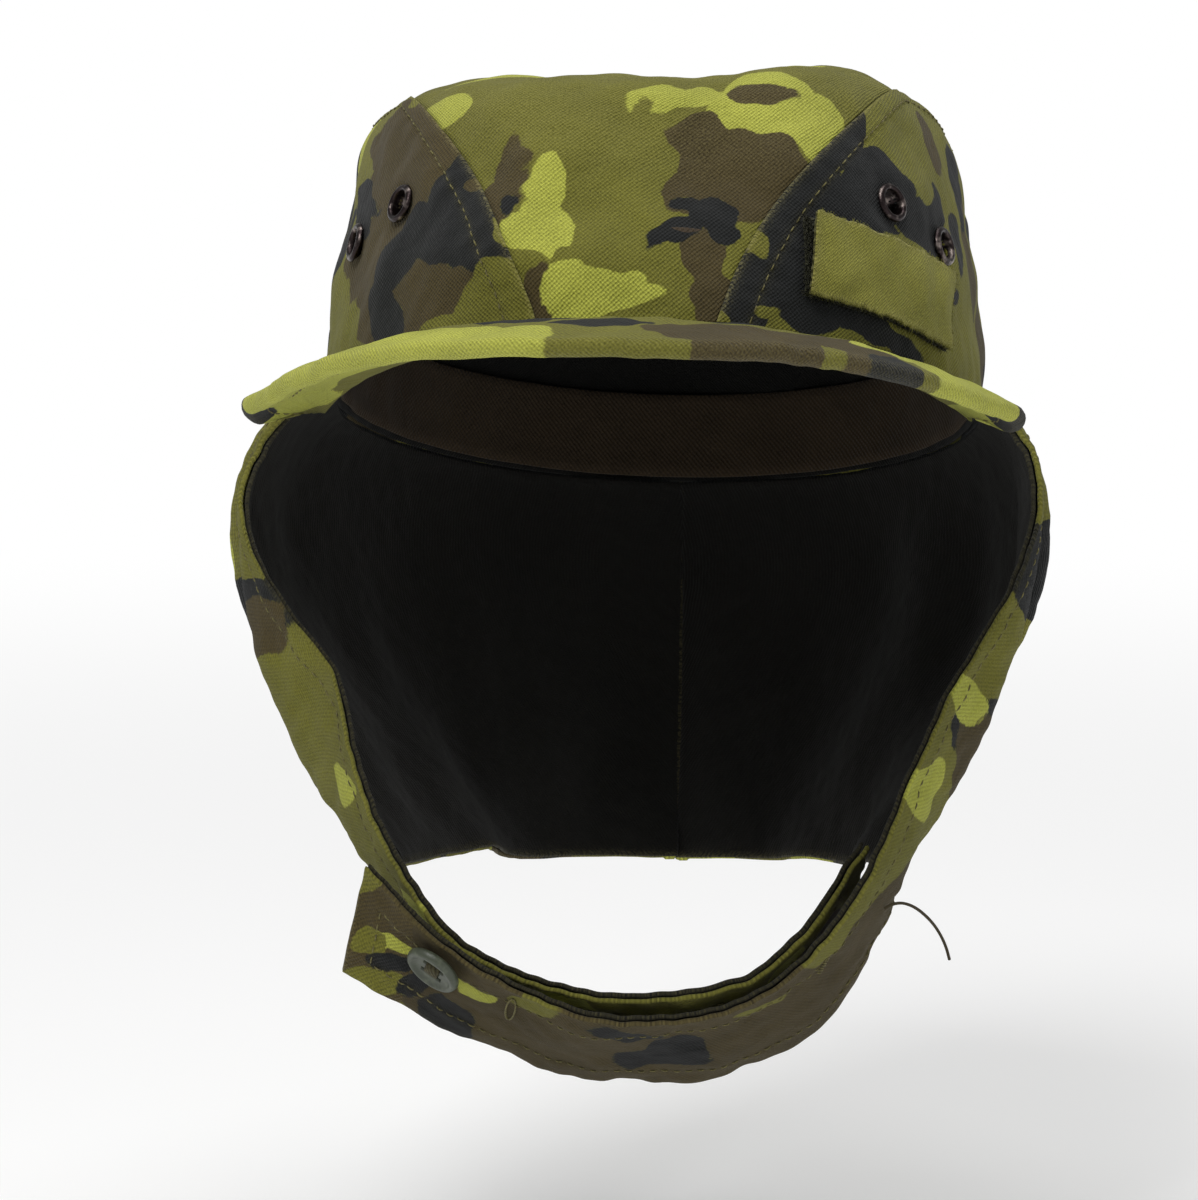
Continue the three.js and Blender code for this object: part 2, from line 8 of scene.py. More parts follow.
import bpy
import numpy as np
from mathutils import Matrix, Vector


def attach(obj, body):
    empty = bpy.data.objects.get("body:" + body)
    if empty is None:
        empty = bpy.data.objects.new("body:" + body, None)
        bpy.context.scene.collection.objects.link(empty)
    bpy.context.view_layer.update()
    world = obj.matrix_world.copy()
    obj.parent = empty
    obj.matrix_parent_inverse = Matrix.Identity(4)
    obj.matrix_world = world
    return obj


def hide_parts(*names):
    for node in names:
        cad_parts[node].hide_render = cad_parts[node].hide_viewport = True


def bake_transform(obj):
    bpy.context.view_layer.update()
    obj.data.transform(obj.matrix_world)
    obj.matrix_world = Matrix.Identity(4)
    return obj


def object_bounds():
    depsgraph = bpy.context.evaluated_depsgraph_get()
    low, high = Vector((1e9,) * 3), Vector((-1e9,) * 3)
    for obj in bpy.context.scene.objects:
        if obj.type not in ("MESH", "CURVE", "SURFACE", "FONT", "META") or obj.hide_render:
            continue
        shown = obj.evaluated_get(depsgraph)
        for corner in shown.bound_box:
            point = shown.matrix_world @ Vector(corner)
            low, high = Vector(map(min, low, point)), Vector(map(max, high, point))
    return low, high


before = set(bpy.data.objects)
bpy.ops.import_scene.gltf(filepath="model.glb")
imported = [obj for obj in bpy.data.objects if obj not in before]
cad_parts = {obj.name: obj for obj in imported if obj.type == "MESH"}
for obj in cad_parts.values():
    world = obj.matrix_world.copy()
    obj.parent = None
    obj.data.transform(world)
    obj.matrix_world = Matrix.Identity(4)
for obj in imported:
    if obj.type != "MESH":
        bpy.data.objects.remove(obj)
CAD_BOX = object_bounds()

MM = 0.001

# Crown, as in the part's source: bearings in degrees from the front, heights over the base edge.
BASE_HALF_WIDTH = 85
BASE_HALF_LENGTH = 100
WEAR_TILT = math.radians(19.5)
CROWN_HEIGHT = 80
CROWN_HEIGHT_RISE = 7
SEAM_HALF_WIDTH = 22
SEAM_SLOPE = 0.27
SEAM_FLARE = 0.0035
SHOULDER = 0.6
CROWN_PROFILE = [[1, 0], [0.995, 0.3], [0.955, 0.6], [0.895, 0.85], [0.755, 0.97], [0.5, 1.02], [0, 1.04]]
EYELETS = {"front": (47, 37), "rear": (62.5, 32)}
SWEATBAND_HEIGHT = 23
SWEATBAND_RADIUS = 93

# Camera: place in millimetres, turn towards -X, tilt downwards, and lens for its sensor.
CAMERA_PLACE = (96.9, -1214.0, 158.3)
CAMERA_TURN = math.radians(5.25)
CAMERA_TILT = math.radians(9.75)
CAMERA_LENS = 141.6
CAMERA_SENSOR = 36
CAMERA_CLIP_END = 100

# Area lamps: name, place, target and size in metres, power in watts.
LAMPS = [
    ("key", (-0.45, -0.9, 1.35), (0, 0, 0), 0.6, 13),
    ("top", (0.1, 0.1, 1.35), (0, 0, 0), 0.9, 8),
    ("fill", (1.3, -0.9, 0.5), (0, 0, -0.05), 0.7, 1.6),
]
WORLD_STRENGTH = 0.36

# The floor lies this far below the closed cap, in metres: open flaps hang lower than closed ones.
# It fades into its own glow between two distances from the cap.
FLOOR_DROP = 0.072
FLOOR_HALF = 20.0
FLOOR_FADE = (0.25, 1.3)

# Cloth: thickness, offsets of layers from the surface, insets of seams and hems from their edges.
CLOTH = 0.9
CROWN_CLOTH = (0, -CLOTH)
CROWN_LINING = (-1.5, -2.1)
SWEATBAND = (-2.9, -3.7)
SEAM_INSET = 8.2
EYELET_HOLE = 3.6
FLAP_OUTER = 1.3
FLAP_LINING = -0.3
HEM = 6.5

# Visor, patch, straps and button. The visor's cloth spans its depth from under the crown to the edge.
VISOR_END = math.radians(72)
VISOR_THICKNESS = 4.7
VISOR_SHIFT = -2
VISOR_GROOVE = 4.2
VISOR_SPAN = (-0.035, 0.985)
PATCH = {"front": 30, "rear": 61, "front_low": 9.5, "rear_low": 5, "front_height": 19, "rear_height": 19}
PATCH_CURL = 4
PATCH_LOOP = (1.75, 0.9)
PATCH_HOOK = (2.55, 1.95)
PATCH_COVER = (3.6, 2.75)
FLAP_SEAM_END = 77.75
TIP_BEND = 19.3 / 20
TIP_OVERLAP = 0.0006
BACK_SEAM_REACH = 0.0075
FREE_TOP_RIB = 4.2
NO_EDGE = 99
BUTTON_U, BUTTON_V = 18.9 / 20, 0.24
BUTTON_RADIUS = 7.5
BUTTON_LIFT = 3.7
BUTTON_TILT = math.radians(13)
THREAD_ROUTE = [
    [62.6, -58.2, -118.6], [64.6, -57.6, -117.6], [66.8, -56, -117.6], [69, -54, -118.6],
    [71, -52, -120.2], [72.8, -50, -122.2], [74.4, -48, -124.4], [75.8, -46.2, -126.8],
    [77, -44.6, -129.4], [78, -43.2, -132.2], [78.8, -42, -135.4],
]
THREAD_RADIUS = 0.4

# Intervals along and across the grids that the cloth is made on.
CENTER_GRID = (110, 330)
SIDE_GRID = (220, 96)
VISOR_GRID = (260, 64)
FLAP_GRID = (440, 64)
TIP_GRID = (60, 64)
BACK_SEAM_GRID = (24, 90)


# ------------------------------------------------------------ camera and light


def link(name, data):
    made = bpy.data.objects.new(name, data)
    bpy.context.collection.objects.link(made)
    return made


def aim(made, direction):
    made.rotation_euler = Vector(direction).to_track_quat("-Z", "Y").to_euler()


def add_camera():
    data = bpy.data.cameras.new("camera")
    data.lens = CAMERA_LENS
    data.sensor_width = CAMERA_SENSOR
    data.clip_end = CAMERA_CLIP_END
    camera = link("camera", data)
    camera.location = Vector(CAMERA_PLACE) * MM
    level = math.cos(CAMERA_TILT)
    aim(camera, (-math.sin(CAMERA_TURN) * level, math.cos(CAMERA_TURN) * level, -math.sin(CAMERA_TILT)))
    bpy.context.scene.camera = camera


def add_lamp(name, place, target, size, power):
    data = bpy.data.lights.new(name, "AREA")
    data.size = size
    data.energy = power
    lamp = link(name, data)
    lamp.location = place
    aim(lamp, Vector(target) - Vector(place))


def add_studio():
    scene = bpy.context.scene
    scene.view_settings.view_transform = "Standard"
    world = bpy.data.worlds.new("studio")
    world.use_nodes = True
    background = world.node_tree.nodes["Background"].inputs
    background["Color"].default_value = (1, 1, 1, 1)
    background["Strength"].default_value = WORLD_STRENGTH
    scene.world = world
    for lamp in LAMPS:
        add_lamp(*lamp)
    mesh = bpy.data.meshes.new("floor")
    half, low = FLOOR_HALF, CAD_BOX[0][2] - FLOOR_DROP
    corners = [(-half, -half, low), (half, -half, low), (half, half, low), (-half, half, low)]
    mesh.from_pydata(corners, [], [(0, 1, 2, 3)])
    floor = link("floor", mesh)
    shader = Shader("floor")
    place = shader.node("ShaderNodeTexCoord", "Object", {})
    distance = shader.node("ShaderNodeVectorMath", "Value", {0: place}, operation="LENGTH")
    glow = shader.ramp(distance, *FLOOR_FADE, 0.1, 1.0)
    shade = shader.ramp(distance, *FLOOR_FADE, 0.95, 0.0)
    shader.feed(shader.principled.inputs["Emission Color"], (1, 1, 1, 1))
    shader.feed(shader.principled.inputs["Emission Strength"], glow)
    mesh.materials.append(shader.finish(shader.gray(shade), 0.9, Specular_IOR_Level=0.0))


# ------------------------------------------------------------------ materials


def srgb(red, green, blue):
    """A colour in 0 to 255 as linear light."""
    def linear(value):
        share = value / 255
        return share / 12.92 if share <= 0.04045 else ((share + 0.055) / 1.055) ** 2.4
    return (linear(red), linear(green), linear(blue), 1)


OLIVE = srgb(107, 105, 36)
LIME = srgb(167, 170, 68)
BROWN = srgb(70, 60, 31)
DARK = srgb(20, 22, 22)


class Shader:
    """A node material under construction: most methods add a node and give back its output."""

    def __init__(self, name):
        self.material = bpy.data.materials.new(name)
        self.material.use_nodes = True
        self.tree = self.material.node_tree
        self.principled = self.tree.nodes["Principled BSDF"]

    def node(self, kind, output, inputs, **settings):
        node = self.tree.nodes.new(kind)
        for key, value in settings.items():
            setattr(node, key, value)
        for key, value in inputs.items():
            self.feed(node.inputs[key], value)
        return node.outputs[output]

    def feed(self, socket, value):
        if isinstance(value, bpy.types.NodeSocket):
            self.tree.links.new(value, socket)
        else:
            socket.default_value = value

    def attribute(self, name, output):
        return self.node("ShaderNodeAttribute", output, {}, attribute_name=name)

    def math(self, operation, first, second=0.0, third=0.0):
        return self.node("ShaderNodeMath", 0, {0: first, 1: second, 2: third}, operation=operation)

    def dot(self, vector, direction):
        inputs = {0: vector, 1: direction}
        return self.node("ShaderNodeVectorMath", "Value", inputs, operation="DOT_PRODUCT")

    def noise(self, vector, scale, detail=2.0):
        return self.node("ShaderNodeTexNoise", 0, {"Vector": vector, "Scale": scale, "Detail": detail})

    def ramp(self, value, low, high, start=0.0, end=1.0):
        inputs = {"Value": value, "From Min": low, "From Max": high, "To Min": start, "To Max": end}
        return self.node("ShaderNodeMapRange", 0, inputs, clamp=True, interpolation_type="SMOOTHSTEP")

    def mix(self, share, first, second, blend="MIX"):
        inputs = {0: share, 6: first, 7: second}
        return self.node("ShaderNodeMix", 2, inputs, data_type="RGBA", blend_type=blend)

    def gray(self, value):
        return self.node("ShaderNodeCombineColor", 0, {0: value, 1: value, 2: value})

    def bump(self, height, distance, strength=1.0, normal=None):
        inputs = {"Height": height, "Distance": distance, "Strength": strength}
        if normal is not None:
            inputs["Normal"] = normal
        return self.node("ShaderNodeBump", 0, inputs)

    def finish(self, color, roughness, normal=None, **constants):
        self.feed(self.principled.inputs["Base Color"], color)
        self.feed(self.principled.inputs["Roughness"], roughness)
        if normal is not None:
            self.feed(self.principled.inputs["Normal"], normal)
        for key, value in constants.items():
            self.principled.inputs[key.replace("_", " ")].default_value = value
        return self.material


def twill_parts(shader, pitch):
    """Cloth coordinates, height and fine speckle of a diagonal weave."""
    diagonal = math.sqrt(0.5)
    weave = shader.attribute("weave", "Vector")
    wander = shader.noise(weave, 0.35, 3.0)
    across = shader.dot(weave, (diagonal, -diagonal, 0))
    phase = shader.math("MULTIPLY_ADD", wander, 0.8, across)
    wave = shader.math("SINE", shader.math("MULTIPLY", phase, 2 * math.pi / pitch))
    ridge = shader.math("MULTIPLY_ADD", wave, 0.5, 0.5)
    along = shader.dot(weave, (diagonal, diagonal, 0))
    knots = shader.math("SINE", shader.math("MULTIPLY", along, 2 * math.pi / (pitch * 0.9)))
    height = shader.math("MULTIPLY_ADD", knots, 0.3, ridge)
    return weave, height, shader.noise(weave, 1.6, 4.0)


def cloth_material(name, palette=None, flat=None, pitch=0.9, roughness=0.88, relief=0.00016):
    """Twill, either printed from the piece's camo attribute in a palette or dyed one colour."""
    shader = Shader(name)
    weave, height, speckle = twill_parts(shader, pitch)
    if palette is None:
        color = flat
    else:
        olive, lime, brown, dark = palette
        camo = shader.attribute("camo", "Vector")
        fields = shader.node("ShaderNodeSeparateXYZ", "X", {0: camo}).node.outputs
        ragged = shader.math("MULTIPLY_ADD", shader.noise(weave, 0.7, 3.0), 1.0, -0.5)
        color = olive
        for channel, paint, early in ((0, lime, 0.4), (1, brown, 0.2), (2, dark, 0.0)):
            level = shader.math("ADD", shader.math("ADD", fields[channel], ragged), early)
            color = shader.mix(shader.ramp(level, -0.25, 0.25), color, paint)
    # The colour is lighter on the twill's ridges, a painted highlight on the threads' tops; the speckle and
    # broad patches are the cloth's own tone.
    blotch = shader.noise(weave, 0.05, 3.0)
    light = shader.math("MULTIPLY_ADD", height, 0.3, 0.8)
    light = shader.math("MULTIPLY_ADD", speckle, 1.1, shader.math("SUBTRACT", light, 0.55))
    light = shader.math("MULTIPLY_ADD", blotch, 0.6, shader.math("SUBTRACT", light, 0.3))
    color = shader.mix(1.0, color, shader.gray(light), "MULTIPLY")
    wear = shader.math("MULTIPLY", shader.attribute("wear", "Fac"), shader.ramp(speckle, 0.35, 0.7))
    color = shader.mix(shader.math("MULTIPLY", wear, 0.55), color, srgb(150, 142, 92))
    crease = shader.noise(weave, 0.1, 5.0)
    normal = shader.bump(crease, 0.0022, 0.6)
    normal = shader.bump(height, relief, 0.9, normal)
    return shader.finish(color, roughness, normal, Sheen_Weight=0.06, Sheen_Roughness=0.6,
                         Specular_IOR_Level=0.25)


def plain_material(name, color, roughness, metallic=0.0, relief=0.0001, scale=400.0, bright=None):
    """Moulded plastic or metal: colour patches, fine bumps and brighter worn spots."""
    shader = Shader(name)
    place = shader.node("ShaderNodeTexCoord", "Object", {})
    patches = shader.noise(place, scale, 4.0)
    fine = shader.noise(place, scale * 6, 3.0)
    worn = shader.ramp(patches, 0.5, 0.72, 0.0, 0.8)
    color = shader.mix(worn, color, bright or color)
    shade = shader.math("MULTIPLY_ADD", fine, 0.4, 0.8)
    color = shader.mix(1.0, color, shader.gray(shade), "MULTIPLY")
    rough = shader.math("MULTIPLY_ADD", patches, 0.25, roughness - 0.12)
    normal = shader.bump(fine, relief, 0.6)
    return shader.finish(color, rough, normal, Metallic=metallic)


CAMO = (OLIVE, LIME, BROWN, DARK)
MATERIALS = {
    "crown": cloth_material("crown_twill", CAMO),
    "visor": cloth_material("visor_twill", CAMO),
    "flap": cloth_material("flap_twill", CAMO),
    # The linings are painted near black: painted shade for the shadow inside the cap and on the flaps'
    # inner side.
    "lining": cloth_material("lining_in_painted_shade", flat=srgb(16, 16, 13), pitch=0.7, relief=0.0001),
    "flap_lining": cloth_material("flap_lining_in_painted_shade", flat=srgb(17, 16, 12), pitch=0.7, relief=0.0001),
    "sweatband": cloth_material("sweatband_cotton", flat=srgb(58, 46, 30), pitch=1.1, roughness=0.8),
    "patch": cloth_material("patch_web", flat=srgb(124, 122, 50), pitch=0.62, relief=0.00012),
    "loop": cloth_material("loop_pile", flat=srgb(50, 50, 32), pitch=1.2, relief=0.0006),
    "hook": cloth_material("hook_tape", flat=srgb(84, 82, 46), pitch=1.6, relief=0.0006),
    "tape": cloth_material("tape_web", flat=srgb(74, 70, 48), pitch=0.8),
    "thread": cloth_material("sewing_thread", flat=srgb(112, 106, 66), pitch=0.5),
    "loose": cloth_material("loose_thread", flat=srgb(66, 58, 38), pitch=0.5),
    "metal": plain_material("blackened_brass", srgb(46, 38, 38), 0.3, 0.9, bright=srgb(150, 138, 132)),
    "button": plain_material("button_plastic", srgb(64, 70, 56), 0.42, bright=srgb(92, 98, 80)),
}


# ---------------------------------------------------------------- mathematics


def steps(count):
    return np.linspace(0, 1, count + 1)


def mesh_grid(columns, rows):
    return np.meshgrid(steps(columns), steps(rows), indexing="ij")


def smooth(value):
    share = np.clip(value, 0, 1)
    return share * share * (3 - 2 * share)


def lerp(first, second, share):
    return first + (second - first) * share


def unit(vectors):
    return vectors / np.maximum(np.linalg.norm(vectors, axis=-1, keepdims=True), 1e-9)


def cubic(w, start, end, start_slope, end_slope):
    return ((2 * start - 2 * end + start_slope + end_slope) * w**3
            + (3 * end - 3 * start - 2 * start_slope - end_slope) * w**2 + start_slope * w + start)


def even_spline(points, t):
    """Catmull-Rom curve through evenly weighted points."""
    points = np.asarray(points, float)
    place = np.clip(t, 0, 1) * (len(points) - 1)
    first = np.floor(place).astype(int)
    p0, p1, p2, p3 = (points[np.clip(first + k, 0, len(points) - 1)] for k in (-1, 0, 1, 2))
    return cubic((place - first)[..., None], p1, p2, (p2 - p0) / 2, (p3 - p1) / 2)


def spaced_spline(points, t):
    """Catmull-Rom curve whose weights follow the points' distances (centripetal)."""
    points = np.asarray(points, float)
    padded = np.vstack([2 * points[0] - points[1], points, 2 * points[-1] - points[-2]])
    place = np.asarray(t, float) * (len(points) - 1)
    first = np.clip(np.floor(place), 0, len(points) - 2).astype(int)
    p0, p1, p2, p3 = (padded[first + k] for k in range(4))

    def gap(a, b, other):
        distance = np.sqrt(np.linalg.norm(b - a, axis=-1, keepdims=True))
        return np.where(distance < 1e-4, other, distance)

    d1 = gap(p1, p2, 1.0)
    d0, d2 = gap(p0, p1, d1), gap(p2, p3, d1)
    slope1 = ((p1 - p0) / d0 - (p2 - p0) / (d0 + d1) + (p2 - p1) / d1) * d1
    slope2 = ((p2 - p1) / d1 - (p3 - p1) / (d1 + d2) + (p3 - p2) / d2) * d1
    return cubic((place - first)[..., None], p1, p2, slope1, slope2)


def waves(points, wavelength, seed, count=14):
    """Smooth noise of about unit size: a sum of plane waves in random directions."""
    random = np.random.default_rng(seed)
    directions = unit(random.normal(size=(count, 3)))
    rates = 2 * math.pi / wavelength * random.uniform(0.7, 1.35, count)
    phases = random.uniform(0, 2 * math.pi, count)
    return np.sin((points @ directions.T) * rates + phases).sum(-1) * math.sqrt(2 / count)


def grid_normals(points):
    along = np.gradient(points, axis=0)
    across = np.gradient(points, axis=1)
    return unit(np.cross(along, across))


def weave_of(points):
    """Cloth coordinates of a grid in millimetres, from the middle of its first row."""
    along = np.linalg.norm(np.diff(points, axis=0), axis=-1)
    across = np.linalg.norm(np.diff(points, axis=1), axis=-1).mean(0)
    x = np.vstack([np.zeros(points.shape[1]), np.cumsum(along, 0)])
    x -= x[len(x) // 2]
    y = np.concatenate([[0], np.cumsum(across)])
    return np.stack([x, np.broadcast_to(y, x.shape), np.zeros_like(x)], -1)


def edge_distances(points):
    """Distances in millimetres from each grid point to the first and last column and row."""
    along = np.cumsum(np.linalg.norm(np.diff(points, axis=0), axis=-1), 0)
    along = np.vstack([np.zeros(points.shape[1]), along])
    across = np.cumsum(np.linalg.norm(np.diff(points, axis=1), axis=-1), 1)
    across = np.hstack([np.zeros((points.shape[0], 1)), across])
    return along, along[-1] - along, across, across[:, -1:] - across


def sample(grid, column, row):
    """Values of a grid at fractional columns and rows."""
    i = np.clip(np.floor(column).astype(int), 0, grid.shape[0] - 2)
    j = np.clip(np.floor(row).astype(int), 0, grid.shape[1] - 2)
    a = (column - i)[..., None]
    b = (row - j)[..., None]
    low = grid[i, j] * (1 - a) + grid[i + 1, j] * a
    high = grid[i, j + 1] * (1 - a) + grid[i + 1, j + 1] * a
    return low * (1 - b) + high * b


def crossing(distances, value):
    """Fractional index at which distances that rise or fall steadily reach a value."""
    sign = 1 if distances[0] < distances[-1] else -1
    return np.interp(sign * value, sign * distances, np.arange(len(distances)))


# ---------------------------------------------------------------- mesh making


def make_object(name, vertices, faces, materials, fields, indices=None):
    mesh = bpy.data.meshes.new(name)
    mesh.from_pydata((np.asarray(vertices) * MM).tolist(), [], faces)
    for key in materials:
        mesh.materials.append(MATERIALS[key])
    if indices is not None:
        mesh.polygons.foreach_set("material_index", np.asarray(indices, np.int32))
    mesh.polygons.foreach_set("use_smooth", np.ones(len(mesh.polygons), bool))
    for field, values in fields.items():
        kind, key = ("FLOAT_VECTOR", "vector") if values.ndim == 2 else ("FLOAT", "value")
        attribute = mesh.attributes.new(field, kind, "POINT")
        attribute.data.foreach_set(key, np.ascontiguousarray(values, np.float32).ravel())
    mesh.update()
    return link(name, mesh)


def enter(piece, slot, body, *solids):
    """Enters a piece in the frame: its body and the CAD solids that it replaces; its material slot is not
    used.
    """
    if solids:
        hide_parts(*solids)
    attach(piece, body)


def shell(name, outer, inner, materials, camo=None, wear=None, weave=None, under_weave=None, keep=None,
          closed=False, rim=2, bulge=0.8):
    """A closed sheet between two grids, with a rounded rim round its edges and round any hole in it."""
    columns, rows = outer.shape[:2]
    count = columns * rows
    index = np.arange(count).reshape(columns, rows)
    following = np.roll(index, -1, 0) if closed else index[1:]
    first = index if closed else index[:-1]
    quads = np.stack([first[:, :-1], following[:, :-1], following[:, 1:], first[:, 1:]], -1).reshape(-1, 4)
    if keep is not None:
        quads = quads[keep.reshape(-1)]
    top, under = outer.reshape(-1, 3), inner.reshape(-1, 3)
    facing = np.cross(top[quads[:, 1]] - top[quads[:, 0]], top[quads[:, 3]] - top[quads[:, 0]])
    if ((facing * (top - under)[quads[:, 0]]).sum(-1)).mean() < 0:
        quads = quads[:, ::-1]
    edges = np.concatenate([quads[:, [k, (k + 1) % 4]] for k in range(4)])
    edges = edges[~np.isin(edges[:, 0] * count + edges[:, 1], edges[:, 1] * count + edges[:, 0])]
    border = np.unique(edges)
    away = np.zeros((count, 3))
    centers = top[quads].mean(1)
    for k in range(4):
        np.add.at(away, quads[:, k], top[quads[:, k]] - centers)
    half = (top - under)[border] / 2
    middle = (top + under)[border] / 2
    outward = unit(away[border]) * np.linalg.norm(half, axis=1, keepdims=True)
    outward *= np.broadcast_to(bulge, (columns, rows)).reshape(-1)[border][:, None]
    rings = [middle + outward * math.cos(turn) + half * math.sin(turn)
             for turn in (math.pi / 2 - math.pi * k / rim for k in range(1, rim))]
    place = np.zeros(count, int)
    place[border] = np.arange(len(border))
    layers = [border] + [2 * count + k * len(border) + np.arange(len(border)) for k in range(rim - 1)]
    layers.append(border + count)
    a, b = place[edges[:, 0]], place[edges[:, 1]]
    sides = [np.stack([low[b], low[a], high[a], high[b]], -1) for low, high in zip(layers, layers[1:])]
    faces = np.concatenate([quads, quads[:, ::-1] + count, *sides])
    indices = np.zeros(len(faces), int)
    indices[len(quads):2 * len(quads)] = len(materials) - 1
    copies = [np.arange(count), np.arange(count)] + [border] * (rim - 1)
    spread = np.concatenate(copies)
    weave = (weave_of(outer) if weave is None else weave).reshape(-1, 3)
    under_weave = weave if under_weave is None else under_weave.reshape(-1, 3)
    rim_weaves = [lerp(weave[border], under_weave[border], k / rim) for k in range(1, rim)]
    fields = {"weave": np.concatenate([weave, under_weave, *rim_weaves])}
    if camo is not None:
        fields["camo"] = camo.reshape(-1, 3)[spread]
    if wear is not None:
        fields["wear"] = wear.reshape(-1)[spread]
    vertices = np.concatenate([top, under, *rings])
    return make_object(name, vertices, faces.tolist(), materials, fields, indices)


def sleeve_faces(rings, sides):
    """Faces of a closed tube made of rings of points: its sides, then its two ends."""
    faces = []
    for low in range(0, (rings - 1) * sides, sides):
        for k in range(sides):
            after = (k + 1) % sides
            faces.append([low + k, low + after, low + sides + after, low + sides + k])
    last = (rings - 1) * sides
    return faces + [list(range(sides))[::-1], list(range(last, last + sides))]


def tube(path, radius, sides=6, normals=None):
    """Vertices and faces of a closed tube along a path whose radius may vary."""
    path = np.asarray(path, float)
    tangents = unit(np.gradient(path, axis=0))
    if normals is None:
        normals = np.broadcast_to([0.31, 0.22, 0.92], path.shape)
    right = unit(np.cross(tangents, normals))
    up = np.cross(right, tangents)
    turns = np.arange(sides) * 2 * math.pi / sides
    radius = np.broadcast_to(radius, len(path))[:, None, None]
    ring = right[:, None] * np.cos(turns)[:, None] + up[:, None] * np.sin(turns)[:, None]
    return (path[:, None] + ring * radius).reshape(-1, 3), sleeve_faces(len(path), sides)


def tubes_object(name, tubes, material):
    """One object from many tubes, with their places as cloth coordinates."""
    vertices, faces = [], []
    start = 0
    for points, sleeve in tubes:
        vertices.append(points)
        faces.extend([[start + k for k in face] for face in sleeve])
        start += len(points)
    vertices = np.concatenate(vertices)
    return make_object(name, vertices, faces, [material], {"weave": vertices})


def stitches(points, normals, length=2.1, gap=0.9, radius=0.19, lift=0.08):
    """Tubes of a running stitch along a line: each arches out of the cloth and dives back into it."""
    lengths = np.concatenate([[0], np.cumsum(np.linalg.norm(np.diff(points, axis=0), axis=1))])
    arch = np.array([-0.25, 0.08, 0.14, 0.08, -0.25]) + lift
    thickness = [radius * 0.7, radius, radius, radius, radius * 0.7]
    made = []
    count = int(lengths[-1] // (length + gap))
    for k in range(count):
        at = np.linspace(0, length, len(arch)) + k * lengths[-1] / count + gap / 2
        line = np.stack([np.interp(at, lengths, points[:, axis]) for axis in range(3)], -1)
        out = unit(np.stack([np.interp(at, lengths, normals[:, axis]) for axis in range(3)], -1))
        made.append(tube(line + out * arch[:, None], thickness, 5, out))
    return made


def sewn(surface, normals, columns, rows):
    """A running stitch through fractional columns and rows of a surface's grid."""
    return stitches(sample(surface, columns, rows), sample(normals, columns, rows))


# ----------------------------------------------------------------- camouflage


class Blotches:
    """A camouflage print: blotches laid one over another on a surface, and free pattern elsewhere."""

    def __init__(self, points, seed, free):
        shift = np.stack([waves(points, 26, seed + k, 10) for k in range(3)], -1) * 1.5
        shift += np.stack([waves(points, 9, seed + 5 + k, 10) for k in range(3)], -1) * 0.55
        self.points = points + shift
        hidden = -25 * (1 - free)
        patterns = [waves(points + 1.5 * shift, length, seed + 20 + k) - bar
                    for k, (length, bar) in enumerate(((58, 0.75), (62, 0.35), (52, 0.65)))]
        self.fields = [9 * pattern + hidden for pattern in patterns]

    def paint(self, kind, center, along, across, half_length, half_width):
        offset = self.points - center
        depth = np.cross(along, across)
        reach = np.sqrt((offset @ along / half_length) ** 2 + (offset @ across / half_width) ** 2
                        + (offset @ depth / 30) ** 2)
        inside = (1 - reach) * min(half_length, half_width)
        for k, name in enumerate(("lime", "brown", "dark")):
            combine, value = (np.maximum, inside) if name == kind else (np.minimum, -inside)
            self.fields[k] = combine(self.fields[k], value)

    def paint_all(self, blotches, locate):
        """Paints blotches of (kind, place a, place b, half length, half width, tilt in degrees)."""
        for kind, a, b, half_length, half_width, *tilt in blotches:
            center, right, up = locate(a, b)
            turn = math.radians(tilt[0] if tilt else 0)
            along = right * math.cos(turn) + up * math.sin(turn)
            across = up * math.cos(turn) - right * math.sin(turn)
            self.paint(kind, center, along, across, half_length, half_width)

    def shade(self, share):
        """Paints shade into the print where a share is near 1: the shadow of cloth tucked into a seam."""
        self.fields[2] = np.maximum(self.fields[2], 40 * (share - 0.5))

    def values(self):
        return np.stack(self.fields, -1)


def surface_frame(point, a, b, step):
    """Centre and two unit directions of a surface at a place, for a function of two numbers."""
    center = point(a, b)
    right = unit(point(a + step[0], b) - point(a - step[0], b))
    up = point(a, b + step[1]) - point(a, b - step[1])
    return center, right, unit(up - right * (up @ right))


# ---------------------------------------------------------------------- crown


def crown_height(bearing):
    return CROWN_HEIGHT - CROWN_HEIGHT_RISE * np.cos(bearing)


def crown_profile(s):
    return even_spline(CROWN_PROFILE, s)


PROFILE_SHARES = np.linspace(0, 1, 2001)
PROFILE_TABLE = crown_profile(PROFILE_SHARES)


def crown_normal(bearing, s):
    slope = crown_profile(np.minimum(s + 0.005, 1)) - crown_profile(np.maximum(s - 0.005, 0))
    return unit(np.stack([
        slope[..., 1] * np.sin(bearing) / BASE_HALF_WIDTH,
        -slope[..., 1] * np.cos(bearing) / BASE_HALF_LENGTH,
        -slope[..., 0] / crown_height(bearing),
    ], -1))


def lean(points):
    """From the crown's own frame to the row frame."""
    x, y, z = points[..., 0], points[..., 1], points[..., 2]
    c, s = math.cos(WEAR_TILT), math.sin(WEAR_TILT)
    return np.stack([x, y * c + z * s, z * c - y * s], -1)


